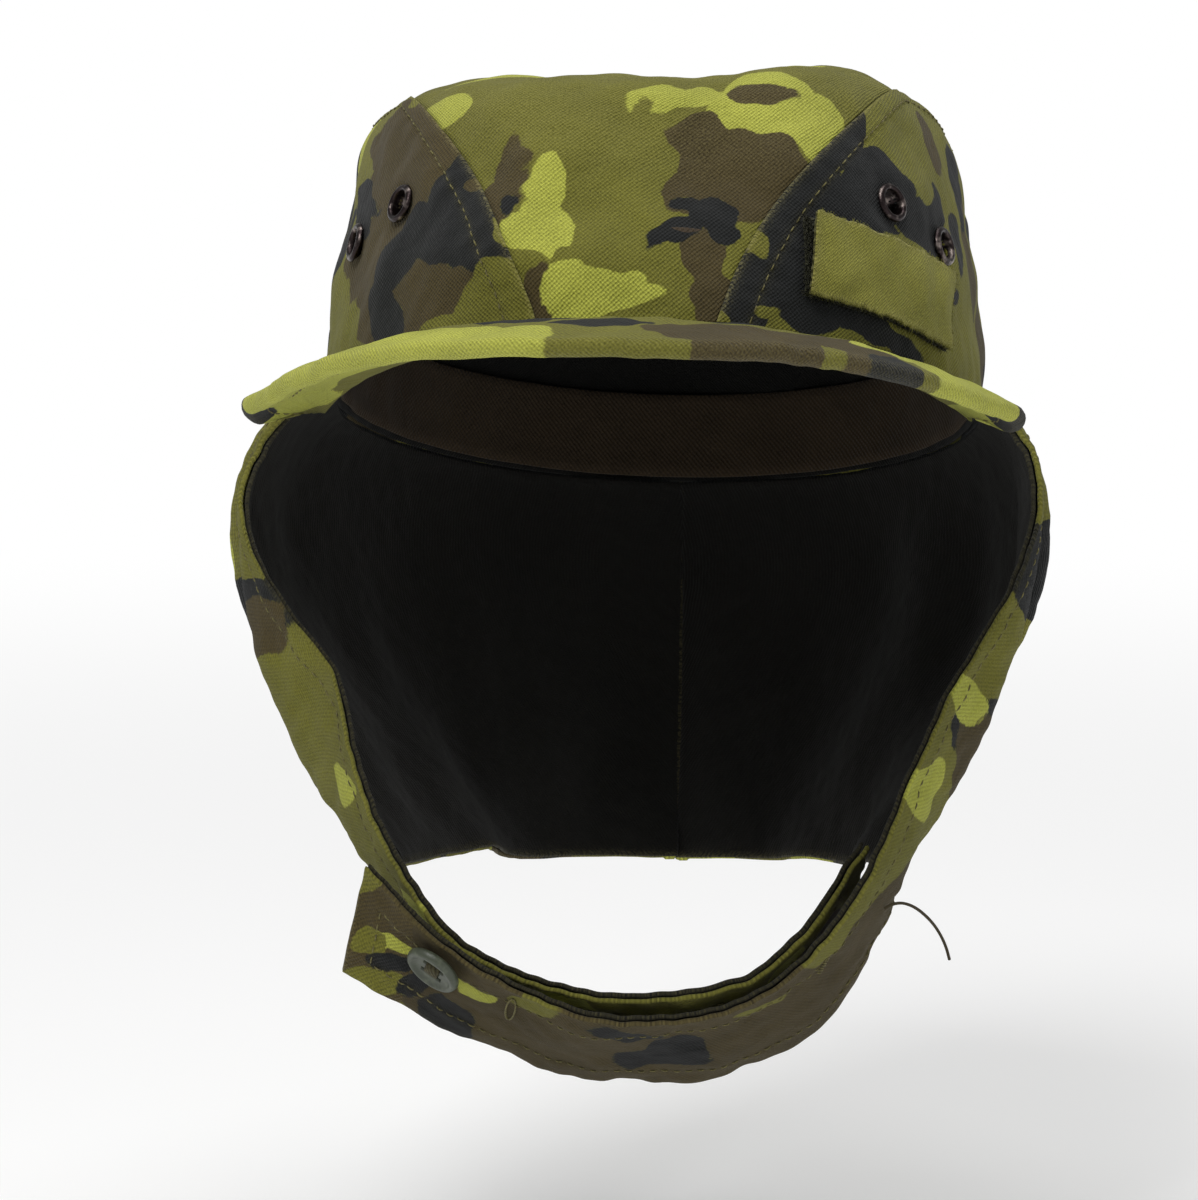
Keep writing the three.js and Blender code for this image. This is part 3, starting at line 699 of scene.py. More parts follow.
def crown_point(bearing, s, offset=0.0):
    """Row-frame points at an offset from the crown's surface."""
    bearing, s = np.broadcast_arrays(np.asarray(bearing, float), np.asarray(s, float))
    profile = crown_profile(s)
    base = np.stack([
        BASE_HALF_WIDTH * profile[..., 0] * np.sin(bearing),
        -BASE_HALF_LENGTH * profile[..., 0] * np.cos(bearing),
        crown_height(bearing) * profile[..., 1],
    ], -1)
    return lean(base + crown_normal(bearing, s) * np.asarray(offset)[..., None])


def wall_share(bearing, height):
    wall = PROFILE_SHARES <= SHOULDER + 0.05
    return np.interp(height / crown_height(bearing), PROFILE_TABLE[wall, 1], PROFILE_SHARES[wall])


def seam_bearing(s):
    profile = crown_profile(s)
    height = CROWN_HEIGHT * profile[..., 1]
    x = SEAM_HALF_WIDTH + SEAM_SLOPE * height + SEAM_FLARE * height**2
    return np.arcsin(x / (BASE_HALF_WIDTH * profile[..., 0]))


# Sags and swells of the crown's top: middle across it, reach and height.
SAGS = [(48, 22, 2.6), (-20, 34, -3.4), (18, 15, -4.8)]


def crumple(points):
    """How far the crown's cloth stands off its mean surface: soft dents and small folds."""
    height = np.clip(points[..., 2] / 40, 0, 1)
    slack = 0.35 + 0.65 * height
    top = smooth((points[..., 2] - 45) / 25)
    x = points[..., 0]
    sag = top * sum(height * np.exp(-((x - middle) / reach) ** 2) for middle, reach, height in SAGS)
    soft = 0.9 * waves(points, 75, 3) + 0.5 * waves(points, 26, 4)
    return sag + slack * soft + 0.12 * waves(points, 9, 5)


def side_place(side, u, v):
    s = v * (SHOULDER + 0.004)
    start = seam_bearing(s)
    return side * lerp(start, math.pi - start, u), s


def top_place(u, t, reach):
    shoulder = seam_bearing(np.array(SHOULDER)) + reach
    radius = crown_profile(np.array(SHOULDER))[0]
    across = lerp(-1, 1, u)
    bearing = lerp(shoulder, math.pi - shoulder, t)
    x = radius * np.sin(bearing) * np.sin(across * shoulder) / math.sin(shoulder)
    bulge = radius * (np.cos(across * shoulder) - math.cos(shoulder))
    y = -radius * np.cos(bearing) - (1 - 2 * t) * bulge
    top = PROFILE_SHARES >= SHOULDER
    s = np.interp(-np.hypot(x, y), -PROFILE_TABLE[top, 0], PROFILE_SHARES[top])
    return np.arctan2(x, -y), s


def center_place(u, v):
    """Centre panel: up the front, over the top, down the back; its edges run under the side panels."""
    wall, reach = 0.3, 2.0 / 70
    t = np.clip((v - wall) / (1 - 2 * wall), 0, 1)
    top_bearing, top_s = top_place(u, t, reach)
    back = v > 0.5
    s = SHOULDER * np.minimum(np.where(back, 1 - v, v) / wall, 1)
    offset = lerp(-1, 1, u) * (seam_bearing(s) + reach)
    bearing = np.where(back, math.pi - offset, offset)
    on_top = (v > wall) & (v < 1 - wall)
    return np.where(on_top, top_bearing, bearing), np.where(on_top, top_s, s)


def crown_spot(bearing, height):
    """Centre and directions on the crown at a bearing in degrees and a height in millimetres."""
    def point(degrees, level):
        angle = np.array(math.radians(degrees))
        return crown_point(angle, wall_share(angle, np.array(float(level))))
    return surface_frame(point, bearing, height, (1, 0.8))


def top_spot(x, y):
    """Centre and directions on the crown's top at a place in its own frame."""
    def point(a, b):
        bearing = math.atan2(a / BASE_HALF_WIDTH, -b / BASE_HALF_LENGTH)
        radius = math.hypot(a / BASE_HALF_WIDTH, b / BASE_HALF_LENGTH)
        top = PROFILE_SHARES >= SHOULDER - 0.1
        s = np.interp(-radius, -PROFILE_TABLE[top, 0], PROFILE_SHARES[top])
        return crown_point(np.array(bearing), np.array(s))
    return surface_frame(point, x, y, (1, 1))


# Blotches by bearing in degrees, height over the base edge, half length, half width, tilt.
# TOP_PRINT's first two numbers are a place on the crown's top, across and along.
CENTER_PRINT = [
    ("lime", -40, 59, 8, 7), ("lime", 8, 61, 12, 4, 10), ("lime", 23, 58, 15, 11, 12),
    ("lime", 33, 52, 8, 9, -30), ("brown", 12, 42, 12, 15), ("brown", 21, 40, 11, 12, -20),
    ("olive", 3, 48, 5, 12), ("lime", 35, 47, 4, 6), ("brown", 24, 62, 9, 4, -14),
    ("brown", -21, 38, 3.5, 13, 8), ("brown", -23, 31, 5, 9), ("dark", -19.5, 30, 1.6, 4),
    ("lime", -15.5, 33, 3.6, 9, 12), ("lime", -14.5, 22, 9, 6.5), ("olive", -9, 16, 5, 4),
    ("brown", -13.5, 7, 6.5, 7), ("lime", -7, 9, 12, 6.5), ("lime", -2, 5, 10, 4),
    ("lime", -9, 3, 8, 3), ("brown", 13.5, 16, 5.5, 10), ("brown", 14, 3, 6, 7),
    ("dark", 14.5, 29, 7, 6.5), ("dark", 9, 22.5, 7, 4), ("dark", 5, 22, 5, 3.2),
    ("dark", 9.5, 32, 5, 2.4, -15), ("dark", 17, 23, 4, 4),
]
TOP_PRINT = [
    ("lime", -32, -58, 16, 5), ("lime", 20, -60, 22, 8), ("brown", 30, -52, 12, 6),
    ("olive", 0, -35, 18, 12), ("brown", -20, -20, 16, 10), ("lime", 12, -10, 18, 9),
    ("dark", 45, -20, 10, 12),
]
RIGHT_OF_PHOTO_PRINT = [
    ("olive", 60, 25, 60, 45), ("dark", 19.5, 6, 8, 11), ("dark", 23, 24, 8, 14),
    ("dark", 29, 40, 9, 12, 30), ("dark", 35, 54, 11, 10, 30), ("dark", 31, 62, 6, 8, 30),
    ("dark", 33, 30, 9, 14), ("dark", 45, 41, 16, 8), ("dark", 57, 36, 12, 7), ("dark", 63, 41, 4, 5),
    ("dark", 70, 35, 6, 9), ("dark", 43, 33, 12, 5, -20), ("dark", 31, 12, 13, 12),
    ("dark", 45, 3, 19, 4, -8), ("dark", 66, 23, 6, 2.5, -30), ("olive", 57, 56, 10, 10),
    ("olive", 20.5, 23, 2.8, 5.5), ("olive", 23, 3, 4.4, 2.6), ("olive", 50, 27, 8, 3.6),
    ("brown", 66, 58, 5, 8), ("brown", 80, 38, 7, 16, 10), ("dark", 77, 55, 5, 12),
    ("brown", 88, 15, 6, 12), ("dark", 98, 30, 10, 16),
]
LEFT_OF_PHOTO_PRINT = [
    ("brown", -45, 30, 34, 34), ("brown", -40, 55, 14, 13), ("dark", -62, 41, 13, 7, -14),
    ("dark", -72, 33, 8, 8), ("dark", -33, 37, 8, 10, -24), ("dark", -37, 29, 12, 9, -12),
    ("dark", -29, 26, 9, 9), ("dark", -24, 19, 4.6, 7), ("dark", -45, 22, 8, 7),
    ("dark", -48, 11, 7, 8), ("dark", -47, 3, 7, 7), ("brown", -54.5, 29, 3.6, 13, 14),
    ("olive", -67, 16, 7, 10), ("olive", -62, 6, 8, 9), ("brown", -34, 13, 10, 6.5, 8),
    ("brown", -29, 33.5, 3.2, 2.6), ("olive", -22, 8, 8, 8), ("olive", -32, 2.5, 12, 3, 12),
    ("brown", -58, 60, 14, 9), ("dark", -84, 8, 7, 10),
]


def eyelet_frames():
    """Name, place and outward direction of each eyelet."""
    for word, side in (("left", 1), ("right", -1)):
        for position, (bearing, height) in EYELETS.items():
            angle = np.array(math.radians(bearing) * side)
            s = wall_share(angle, np.array(float(height)))
            axis = unit(crown_point(angle, s, 1.0) - crown_point(angle, s))
            yield word, position, crown_point(angle, s), axis


def eyelet_distance(points, side):
    """Distance of points from the nearest eyelet axis of a side panel."""
    best = np.full(points.shape[:-1], 1e3)
    for word, _, place, axis in eyelet_frames():
        if (word == "left") == (side > 0):
            offset = points - place
            radial = offset - (offset @ axis)[..., None] * axis
            best = np.minimum(best, np.linalg.norm(radial, axis=-1) + np.abs(offset @ axis) * 0.2)
    return best


def crown_layer(name, bearing, s, offsets, raised, material, **options):
    """A shell between two offsets from the crown's surface, with the cloth's sags and folds."""
    outer, inner = offsets
    lift = crumple(crown_point(bearing, s)) + raised
    top = crown_point(bearing, s, outer + lift)
    under = crown_point(bearing, s, inner + lift)
    return shell(name, top, under, [material], **options)


def crown_free(base):
    """Where the print is free rather than laid out: away from the front."""
    return smooth((base[..., 1] + 15) / 20)


def add_crown():
    bearing, s = center_place(*mesh_grid(*CENTER_GRID))
    base = crown_point(bearing, s)
    left, right, _, _ = edge_distances(base)
    tucked = -1.0 * (1 - smooth(np.minimum(left, right) / 3.5))
    camo = Blotches(base, 40, crown_free(base))
    camo.paint_all(TOP_PRINT, top_spot)
    camo.paint_all(CENTER_PRINT, crown_spot)
    cloth = crown_layer("crown_center_cloth", bearing, s, CROWN_CLOTH, tucked, "crown",
                        camo=camo.values(), wear=0.25 * smooth((base[..., 2] - 60) / 20))
    enter(cloth, "crown_camo_twill", "cap", "crown_center_panel")
    lining = crown_layer("crown_center_inner", bearing, s, CROWN_LINING, tucked * 0.2, "lining")
    enter(lining, "lining_twill", "cap", "crown_lining_center")
    for word, side, layout in (("left", 1, RIGHT_OF_PHOTO_PRINT), ("right", -1, LEFT_OF_PHOTO_PRINT)):
        add_side_panel(word, side, layout)


def add_side_panel(word, side, layout):
    bearing, s = side_place(side, *mesh_grid(*SIDE_GRID))
    base = crown_point(bearing, s)
    front, rear, low, high = edge_distances(base)
    seam = np.minimum(np.minimum(front, rear), high)
    groove = 0.3 * np.exp(-((seam - SEAM_INSET) / 0.7) ** 2)
    allowance = 0.45 + 0.45 * (1 - smooth((seam - 7.5) / 1.5)) - groove
    pucker = 0.16 * np.sin(2 * math.pi * (low + front * 0.4) / 6.5) * np.exp(-np.abs(seam - 8) / 3)
    hole = eyelet_distance(base, side)
    pinched = -0.55 * np.exp(-((hole - 4.5) / 3.2) ** 2)
    raised = allowance + pucker + pinched
    camo = Blotches(base, 60 + side, crown_free(base))
    camo.paint_all(layout, crown_spot)
    wear = 0.9 * np.exp(-seam / 0.8) + 0.3 * np.exp(-np.abs(seam - SEAM_INSET) / 0.8)
    keep = (hole[:-1, :-1] + hole[1:, 1:]) / 2 > EYELET_HOLE
    cloth = crown_layer(f"crown_{word}_cloth", bearing, s, CROWN_CLOTH, raised, "crown",
                        camo=camo.values(), wear=wear, keep=keep)
    enter(cloth, "crown_camo_twill", "cap", f"crown_side_panel_{word}")
    lining = crown_layer(f"crown_{word}_inner", bearing, s, CROWN_LINING, pinched * 0.5, "lining",
                         keep=keep)
    enter(lining, "lining_twill", "cap", f"crown_lining_{word}")
    surface = crown_point(bearing, s, crumple(base) + raised)
    normals = crown_point(bearing, s, 1.0) - base
    thread = tubes_object(f"crown_{word}_stitch", seam_stitches(surface, normals, SEAM_INSET), "thread")
    enter(thread, "sewing_thread", "cap")


def seam_stitches(points, normals, inset):
    """Stitches at an inset from the first column, the last row and the last column of a grid."""
    front, rear, _, high = edge_distances(points)
    columns = len(points)
    turn = np.mean([crossing(high[i], inset * 1.3) for i in (0, columns // 2, columns - 1)])
    rising = np.arange(0, turn, 0.5)
    up = [(crossing(front[:, int(j)], inset), j) for j in rising]
    down = [(crossing(rear[:, int(j)], inset), j) for j in rising[::-1]]
    across = [(i, crossing(high[int(i)], inset)) for i in np.arange(up[-1][0] + 4, down[0][0] - 4)]
    return sewn(points, normals, *np.array(up + across + down).T)


def add_sweatband():
    angle = 2 * math.pi * np.arange(180) / 180
    bearing, v = np.meshgrid(angle, steps(10), indexing="ij")
    s = wall_share(bearing, 1 + v * SWEATBAND_HEIGHT)
    base = crown_point(bearing, s)
    bead = 0.5 * np.exp(-((v - 0.06) / 0.05) ** 2) + 0.4 * np.exp(-((v - 0.95) / 0.05) ** 2)
    ripple = 0.18 * waves(base, 16, 9)
    high, low = SWEATBAND
    outer = crown_point(bearing, s, high + ripple)
    inner = crown_point(bearing, s, low + ripple - bead)
    weave = np.stack([bearing * SWEATBAND_RADIUS, v * SWEATBAND_HEIGHT, 0 * v], -1)
    band = shell("sweatband_cloth", outer, inner, ["sweatband"], weave=weave, closed=True)
    enter(band, "sweatband_cotton", "cap", "sweatband")


def lathe(name, profile, place, axis, material, segments=56):
    """A closed ring or disc turned from a profile of (radius, height) round an axis."""
    profile = np.asarray(profile, float)
    helper = unit(np.cross(axis, [0.3, 0.2, 0.93]))
    other = np.cross(axis, helper)
    turns = np.arange(segments) * 2 * math.pi / segments
    ring = np.cos(turns)[:, None] * helper + np.sin(turns)[:, None] * other
    points = place + ring[:, None] * profile[None, :, :1] + axis * profile[None, :, 1:]
    count = len(profile)
    index = np.arange(segments * count).reshape(segments, count)
    following = np.roll(index, -1, 0)
    next_up = np.roll(index, -1, 1)
    faces = np.stack([index, following, np.roll(following, -1, 1), next_up], -1)
    weave = points.reshape(-1, 3)
    return make_object(name, weave, faces.reshape(-1, 4).tolist(), [material], {"weave": weave})


def rounded(profile, steps_between=4):
    """A closed profile with its corners rounded by a smooth curve through its edge middles."""
    profile = np.asarray(profile, float)
    after = np.roll(profile, -1, 0)
    before = np.roll(profile, 1, 0)
    shares = np.arange(steps_between) / steps_between
    curves = [((before[k] + profile[k]) / 2 * (1 - t) ** 2 + profile[k] * 2 * t * (1 - t)
               + (profile[k] + after[k]) / 2 * t**2) for k in range(len(profile)) for t in shares]
    return np.array(curves)


# Outlines of an eyelet and of its washer: radius, and height over the cloth.
EYELET_FLANGE = [
    [3.1, -3.4], [3.45, -3.4], [3.5, 0.0], [5.0, 0.3], [5.1, 0.8], [4.7, 1.5], [3.9, 1.75], [3.15, 1.2],
]
EYELET_WASHER = [[3.75, -3.3], [5.0, -3.2], [5.0, -2.75], [3.75, -2.7]]


def add_eyelets():
    for word, position, place, axis in eyelet_frames():
        sunk = place + axis * (float(crumple(place)) + 0.15)
        for kind, profile in (("eyelet", EYELET_FLANGE), ("eyelet_washer", EYELET_WASHER)):
            name = f"{kind}_{word}_{position}"
            ring = lathe(f"{name}_metal", rounded(profile), sunk, axis, "metal")
            enter(ring, "blackened_brass", "cap", name)


# ---------------------------------------------------------------------- visor

VISOR_HALF_EDGE = [
    [22, -151, -16.6], [43, -136, -14.2], [62, -116, -12.4], [77, -94, -11.8],
    [89, -71, -11.5], [97, -52, -10.5], [96, -40, -10], [89, -34, -9],
]
VISOR_EDGE = [
    *([VISOR_SHIFT - x, y, z] for x, y, z in VISOR_HALF_EDGE[::-1]),
    [VISOR_SHIFT, -155.5, -17.4],
    *([VISOR_SHIFT + x, y, z] for x, y, z in VISOR_HALF_EDGE),
]

# Blotches by share along the visor, share from seam to edge, half length, half width, tilt.
VISOR_PRINT = [
    ("lime", 0.15, 0.7, 24, 16), ("lime", 0.22, 0.8, 26, 16), ("lime", 0.29, 0.8, 26, 14),
    ("lime", 0.36, 0.85, 26, 12), ("lime", 0.42, 0.92, 20, 9), ("dark", 0.1, 0.97, 7, 6),
    ("olive", 0.15, 0.1, 16, 4), ("brown", 0.3, 0.12, 14, 5), ("dark", 0.42, 0.3, 16, 7, -8),
    ("dark", 0.49, 0.5, 13, 7), ("olive", 0.51, 0.95, 12, 9), ("brown", 0.6, 0.75, 22, 18),
    ("brown", 0.68, 0.7, 18, 12), ("dark", 0.61, 0.15, 9, 4), ("olive", 0.62, 0.45, 14, 4),
    ("dark", 0.715, 1.0, 9, 6), ("lime", 0.74, 0.6, 16, 6), ("dark", 0.73, 0.15, 16, 4),
    ("lime", 0.8, 0.85, 20, 10), ("lime", 0.86, 0.85, 18, 10), ("olive", 0.85, 0.3, 12, 6),
    ("dark", 0.9, 0.97, 7, 6), ("lime", 0.97, 0.5, 8, 8),
]


def visor_point(u, v):
    u, v = np.broadcast_arrays(np.asarray(u, float), np.asarray(v, float))
    bearing = lerp(-VISOR_END, VISOR_END, u)
    gap = 0.4
    seam = np.stack([
        (BASE_HALF_WIDTH + gap) * np.sin(bearing),
        -(BASE_HALF_LENGTH + gap) * np.cos(bearing),
        -5 * np.abs(bearing / VISOR_END) ** 3,
    ], -1)
    point = lerp(seam, spaced_spline(VISOR_EDGE, u), v[..., None])
    point[..., 2] += 1.5 * 4 * v * (1 - v)
    return lean(point)


def add_visor():
    u, v = mesh_grid(*VISOR_GRID)
    base = visor_point(u, lerp(*VISOR_SPAN, v))
    normals = grid_normals(base)
    normals *= np.sign(normals[..., 2].mean())
    _, _, _, edge = edge_distances(base)
    soft = 0.22 * waves(base, 24, 71) + 0.1 * waves(base, 9, 72)
    groove = -0.28 * np.exp(-((edge - VISOR_GROOVE) / 0.6) ** 2)
    top = base + normals * soft[..., None]
    under = base - normals * (VISOR_THICKNESS - 0.6 * soft + groove)[..., None]
    camo = Blotches(base, 80, np.zeros_like(u))
    camo.paint_all(VISOR_PRINT, lambda a, b: surface_frame(visor_point, a, b, (0.01, 0.03)))
    weave = weave_of(top)
    under_weave = weave * [1, -1, 1] + [0, 2 * weave[..., 1].max() + VISOR_THICKNESS * math.pi / 2, 0]
    visor = shell("visor_cloth", top, under, ["visor"], camo=camo.values(), wear=0.22 * np.exp(-edge / 1.6),
                  weave=weave, under_weave=under_weave, rim=9, bulge=smooth(v / 0.06) * 0.95)
    enter(visor, "visor_camo_twill", "cap", "visor_top_cover", "visor_stiffener", "visor_under_cover")
    rows = np.array([crossing(column, VISOR_GROOVE) for column in edge])
    columns = np.arange(len(edge), dtype=float)
    line = tubes_object("visor_stitch", sewn(under, -normals, columns, rows), "thread")
    enter(line, "sewing_thread", "cap")


# ---------------------------------------------------------------------- patch


def patch_grid(columns, rows, curl, grow=0.0):
    """Share up the patch, bearing, crown share and lift of a grid that may reach past its edges."""
    u, v = mesh_grid(columns, rows)
    along = lerp(-grow, 1 + grow, u)
    up = lerp(-grow, 1 + grow, v)
    bearing = np.radians(lerp(PATCH["front"], PATCH["rear"], along))
    low = lerp(PATCH["front_low"], PATCH["rear_low"], along)
    height = low + up * lerp(PATCH["front_height"], PATCH["rear_height"], along)
    lift = curl * np.clip(1 - along, 0, 1.1) ** 6 * np.clip(up, 0, 1)
    return v, bearing, wall_share(bearing, height), lift


def patch_directions(bearing, s, top):
    """Unit directions out of the patch, along it and up it at each grid point."""
    out = unit(crown_point(bearing, s, 1.0) - crown_point(bearing, s))
    return out, unit(np.gradient(top, axis=0)), unit(np.gradient(top, axis=1))


def fibres(points, directions, length, radius, seed, count, stray=0.5):
    """Fine curved hairs that stand on random places of a line or surface of points."""
    random = np.random.default_rng(seed)
    made = []
    for _ in range(count):
        k = random.integers(len(points))
        heading = unit(directions[k] + random.normal(size=3) * stray)
        bend = random.normal(size=3) * 0.35
        reach = length * random.uniform(0.4, 1.2)
        at = np.linspace(0, 1, 4)[:, None]
        start = points[k] + random.normal(size=3) * 0.12
        path = start + heading * reach * at + bend * reach * at**2
        made.append(tube(path, [radius, radius, radius * 0.8, radius * 0.4], 3))
    return made


def add_patch_loop():
    """The loop base sewn on the crown, with the pile that shows at its front and lower edges."""
    _, bearing, s, _ = patch_grid(60, 30, 0, 0.01)
    base = crown_point(bearing, s)
    ripple = crumple(base)
    high, low = PATCH_LOOP
    pile = 0.12 * waves(base, 1.6, 21, 24)
    loop = shell("patch_loop_cloth", crown_point(bearing, s, high + ripple + pile),
                 crown_point(bearing, s, low + ripple), ["loop"])
    enter(loop, "loop_pile", "cap", "patch_loop_base")
    top = crown_point(bearing, s, 1.7 + ripple)
    out, along, rise = patch_directions(bearing, s, top)
    front = fibres(top[:3].reshape(-1, 3), (out - along)[:3].reshape(-1, 3), 1.5, 0.09, 5, 420)
    lower = fibres(top[:, :2].reshape(-1, 3), (out * 0.5 - rise)[:, :2].reshape(-1, 3), 1.1, 0.09, 6, 260)
    enter(tubes_object("patch_loop_fuzz", front + lower, "loop"), "loop_pile", "cap")


def add_patch_cover():
    """The hook backing and the cover web on it, with frayed edges."""
    v, bearing, s, lift = patch_grid(80, 40, PATCH_CURL)
    base = crown_point(bearing, s)
    ripple = crumple(base) + lift + 0.15 * waves(base, 11, 23) * smooth(v * 4)
    high, low = PATCH_HOOK
    hooks = 0.1 * waves(base, 1.5, 24, 24)
    hook = shell("patch_hook_cloth", crown_point(bearing, s, high + ripple),
                 crown_point(bearing, s, low + ripple + hooks), ["hook"])
    enter(hook, "hook_tape", "patch", "patch_hook_backing")

    nearest = np.min(edge_distances(base), axis=0)
    high, low = PATCH_COVER
    top = crown_point(bearing, s, high + ripple + 0.12 * np.exp(-nearest / 1.2))
    under = crown_point(bearing, s, low + ripple)
    out, along, rise = patch_directions(bearing, s, top)
    edging = np.exp(-nearest / 0.8) * (0.3 * waves(base, 3.0, 25))
    top += rise * (edging * np.sign(v - 0.5))[..., None]
    cover = shell("patch_cover_cloth", top, under, ["patch"], wear=np.exp(-nearest / 0.7))
    enter(cover, "patch_web", "patch", "patch_cover")
    frayed = [
        fibres(top[:, -1], rise[:, -1] + 0.5 * out[:, -1], 0.7, 0.07, 7, 110, 0.7),
        fibres(top[:, 0], -rise[:, 0], 1.0, 0.07, 8, 120, 0.7),
        fibres(top[0], -along[0], 0.5, 0.07, 9, 50, 0.6),
        fibres(top[-1], along[-1], 1.2, 0.08, 10, 70, 0.7),
    ]
    enter(tubes_object("patch_cover_fringe", sum(frayed, []), "patch"), "patch_web", "patch")


# ----------------------------------------------------------------------- flap


def base_edge(degrees):
    return crown_point(np.array(math.radians(degrees)), np.array(0.0)).tolist()


def rib(top, hem, bow=0, bearing=0, skew=1.0):
    """One thread of the flap from its upper edge to its hem, bowed outward towards a bearing."""
    angle = math.radians(bearing)
    return {"top": top, "hem": hem, "bow": [bow * math.cos(angle), bow * math.sin(angle), 0], "skew": skew}


def mirrored(one):
    flip = [-1, 1, 1]
    changed = {key: [a * b for a, b in zip(one[key], flip)] for key in ("top", "hem", "bow")}
    return {**changed, "skew": one["skew"]}


NECK_RIBS = [
    rib(base_edge(180), [0, 77, -137], 9, 90, 0.8), rib(base_edge(150), [24, 72, -136], 10, 68, 0.8),
    rib(base_edge(122), [43, 51, -131], 14, 40, 0.75), rib(base_edge(98), [56, 14, -123], 20, 12, 0.7),
]
LEFT_RIBS = NECK_RIBS + [
    rib(base_edge(FLAP_SEAM_END), [62, -20, -117], 21, 0, 0.65),
    rib([91, -22.5, 0], [61.5, -21, -117], 18, -2, 0.7),
    rib([97, -26, -8], [61, -22.5, -117.5], 12, -5, 0.8),
    rib([99, -30.5, -20], [60.5, -24.5, -117.5], 9, -10, 0.9),
    rib([94, -37, -38], [61, -28, -118.5], 8, -15),
    rib([85, -42, -54], [61, -30.5, -120.5], 6, -20),
    rib([77, -48, -67], [60.5, -32, -123], 5, -25),
    rib([70, -53, -83], [60, -34, -126], 4, -30),
    rib([63, -58, -99], [59, -36.5, -130], 3, -40),
    rib([54, -65, -116], [54, -41, -140], 1.5, -50),
    rib([40, -72, -132], [42, -48.5, -154]), rib([25, -77, -140], [26, -53.5, -161]),
    rib([7, -80, -143], [6, -57, -164]), rib([-14, -80, -141], [-16, -57.5, -162.5]),
    rib([-32, -77, -134.5], [-36, -57, -156]), rib([-48, -72.5, -125.5], [-53, -57, -148]),
    rib([-66.5, -69, -108], [-74, -61, -137]),
]
RIGHT_RIBS = [mirrored(one) for one in NECK_RIBS] + [
    rib(base_edge(-FLAP_SEAM_END), [-66, -20, -119], -27, 0, 0.65),
    rib([-92, -22.5, 0], [-66, -21, -118.5], -23, 2, 0.7),
    rib([-99, -26, -9], [-66, -22.5, -118.5], -15, 5, 0.8),
    rib([-103, -30.5, -21], [-66.5, -24, -119], -11, 10, 0.9),
    rib([-100, -34, -35], [-66.5, -26, -120], -10, 15),
    rib([-89, -39, -51], [-66, -28, -121], -9, 20),
    rib([-78, -45, -63], [-65.5, -30, -123], -8, 25),
    rib([-73.5, -50.5, -79], [-64, -32, -126], -6, 30),
    rib([-67, -56, -96], [-62, -35, -131], -3, 40),
    rib([-57, -62, -113], [-56, -40, -139], -1.5, 50),
    rib([-43, -66.5, -128], [-43, -45, -151]), rib([-25, -70.5, -136], [-25, -48.5, -157]),
    rib([-6, -73, -139], [-6, -50, -160]), rib([12, -73, -138], [12, -50, -159]),
    rib([30, -69, -134], [30, -47, -155]), rib([43, -62, -123], [43, -40, -144]),
    rib([57, -51, -104], [54, -31, -127]),
]
LAST_RIB = len(LEFT_RIBS) - 1

# Blotches by rib, share from upper edge to hem, half length, half width, tilt.
# On the left strap under the chin the blotches run brown and dark: partly its print, partly painted shade
# under the chin.
LEFT_FLAP_PRINT_AND_SHADE = [
    ("olive", 8, 0.4, 30, 60), ("dark", 6.3, 0.25, 12, 16), ("dark", 8.2, 0.45, 9, 14, 20),
    ("dark", 5, 0.75, 12, 18), ("brown", 6.5, 0.7, 12, 20), ("lime", 9.3, 0.15, 5, 10),
    ("lime", 10.8, 0.2, 7, 6), ("brown", 12, 0.75, 18, 11), ("brown", 13.4, 0.6, 24, 14),
    ("brown", 15, 0.5, 26, 30), ("brown", 16.7, 0.5, 26, 30), ("brown", 18.2, 0.5, 20, 30),
    ("olive", 13.2, 0.12, 12, 4), ("dark", 15.9, 0.6, 13, 5, -6), ("dark", 15.6, 0.45, 8, 8),
    ("dark", 16.3, 0.15, 12, 3), ("olive", 14.6, 0.15, 7, 2.5), ("lime", 18.45, 0.2, 7, 3, 20),
    ("dark", 18.7, 0.85, 7, 6), ("olive", 17.5, 0.1, 8, 3), ("brown", 19.5, 0.5, 18, 18),
    ("lime", 19.5, 0.36, 9, 2.6, 24), ("olive", 19.85, 0.55, 5, 5), ("dark", 19.55, 0.66, 5, 4.5),
    ("olive", 19.6, 0.95, 8, 4), ("dark", 19.2, 0.8, 4, 5),
]
RIGHT_FLAP_PRINT = [
    ("olive", 8, 0.4, 30, 60), ("dark", 6.1, 0.4, 11, 18), ("dark", 7.1, 0.3, 8, 12),
    ("brown", 7.9, 0.25, 8, 12), ("brown", 5, 0.8, 12, 14), ("olive", 9, 0.5, 8, 14),
    ("olive", 10, 0.3, 9, 12), ("lime", 11.2, 0.2, 5, 4), ("olive", 12.2, 0.3, 10, 8),
    ("lime", 13.6, 0.22, 13, 5), ("dark", 13, 0.7, 12, 6), ("olive", 15, 0.3, 12, 8),
    ("lime", 15.3, 0.15, 9, 4), ("dark", 16.6, 0.6, 12, 7), ("olive", 17.6, 0.2, 14, 5),
    ("lime", 18.5, 0.25, 7, 4), ("brown", 19.3, 0.5, 10, 10), ("olive", 19.8, 0.15, 6, 5),
]


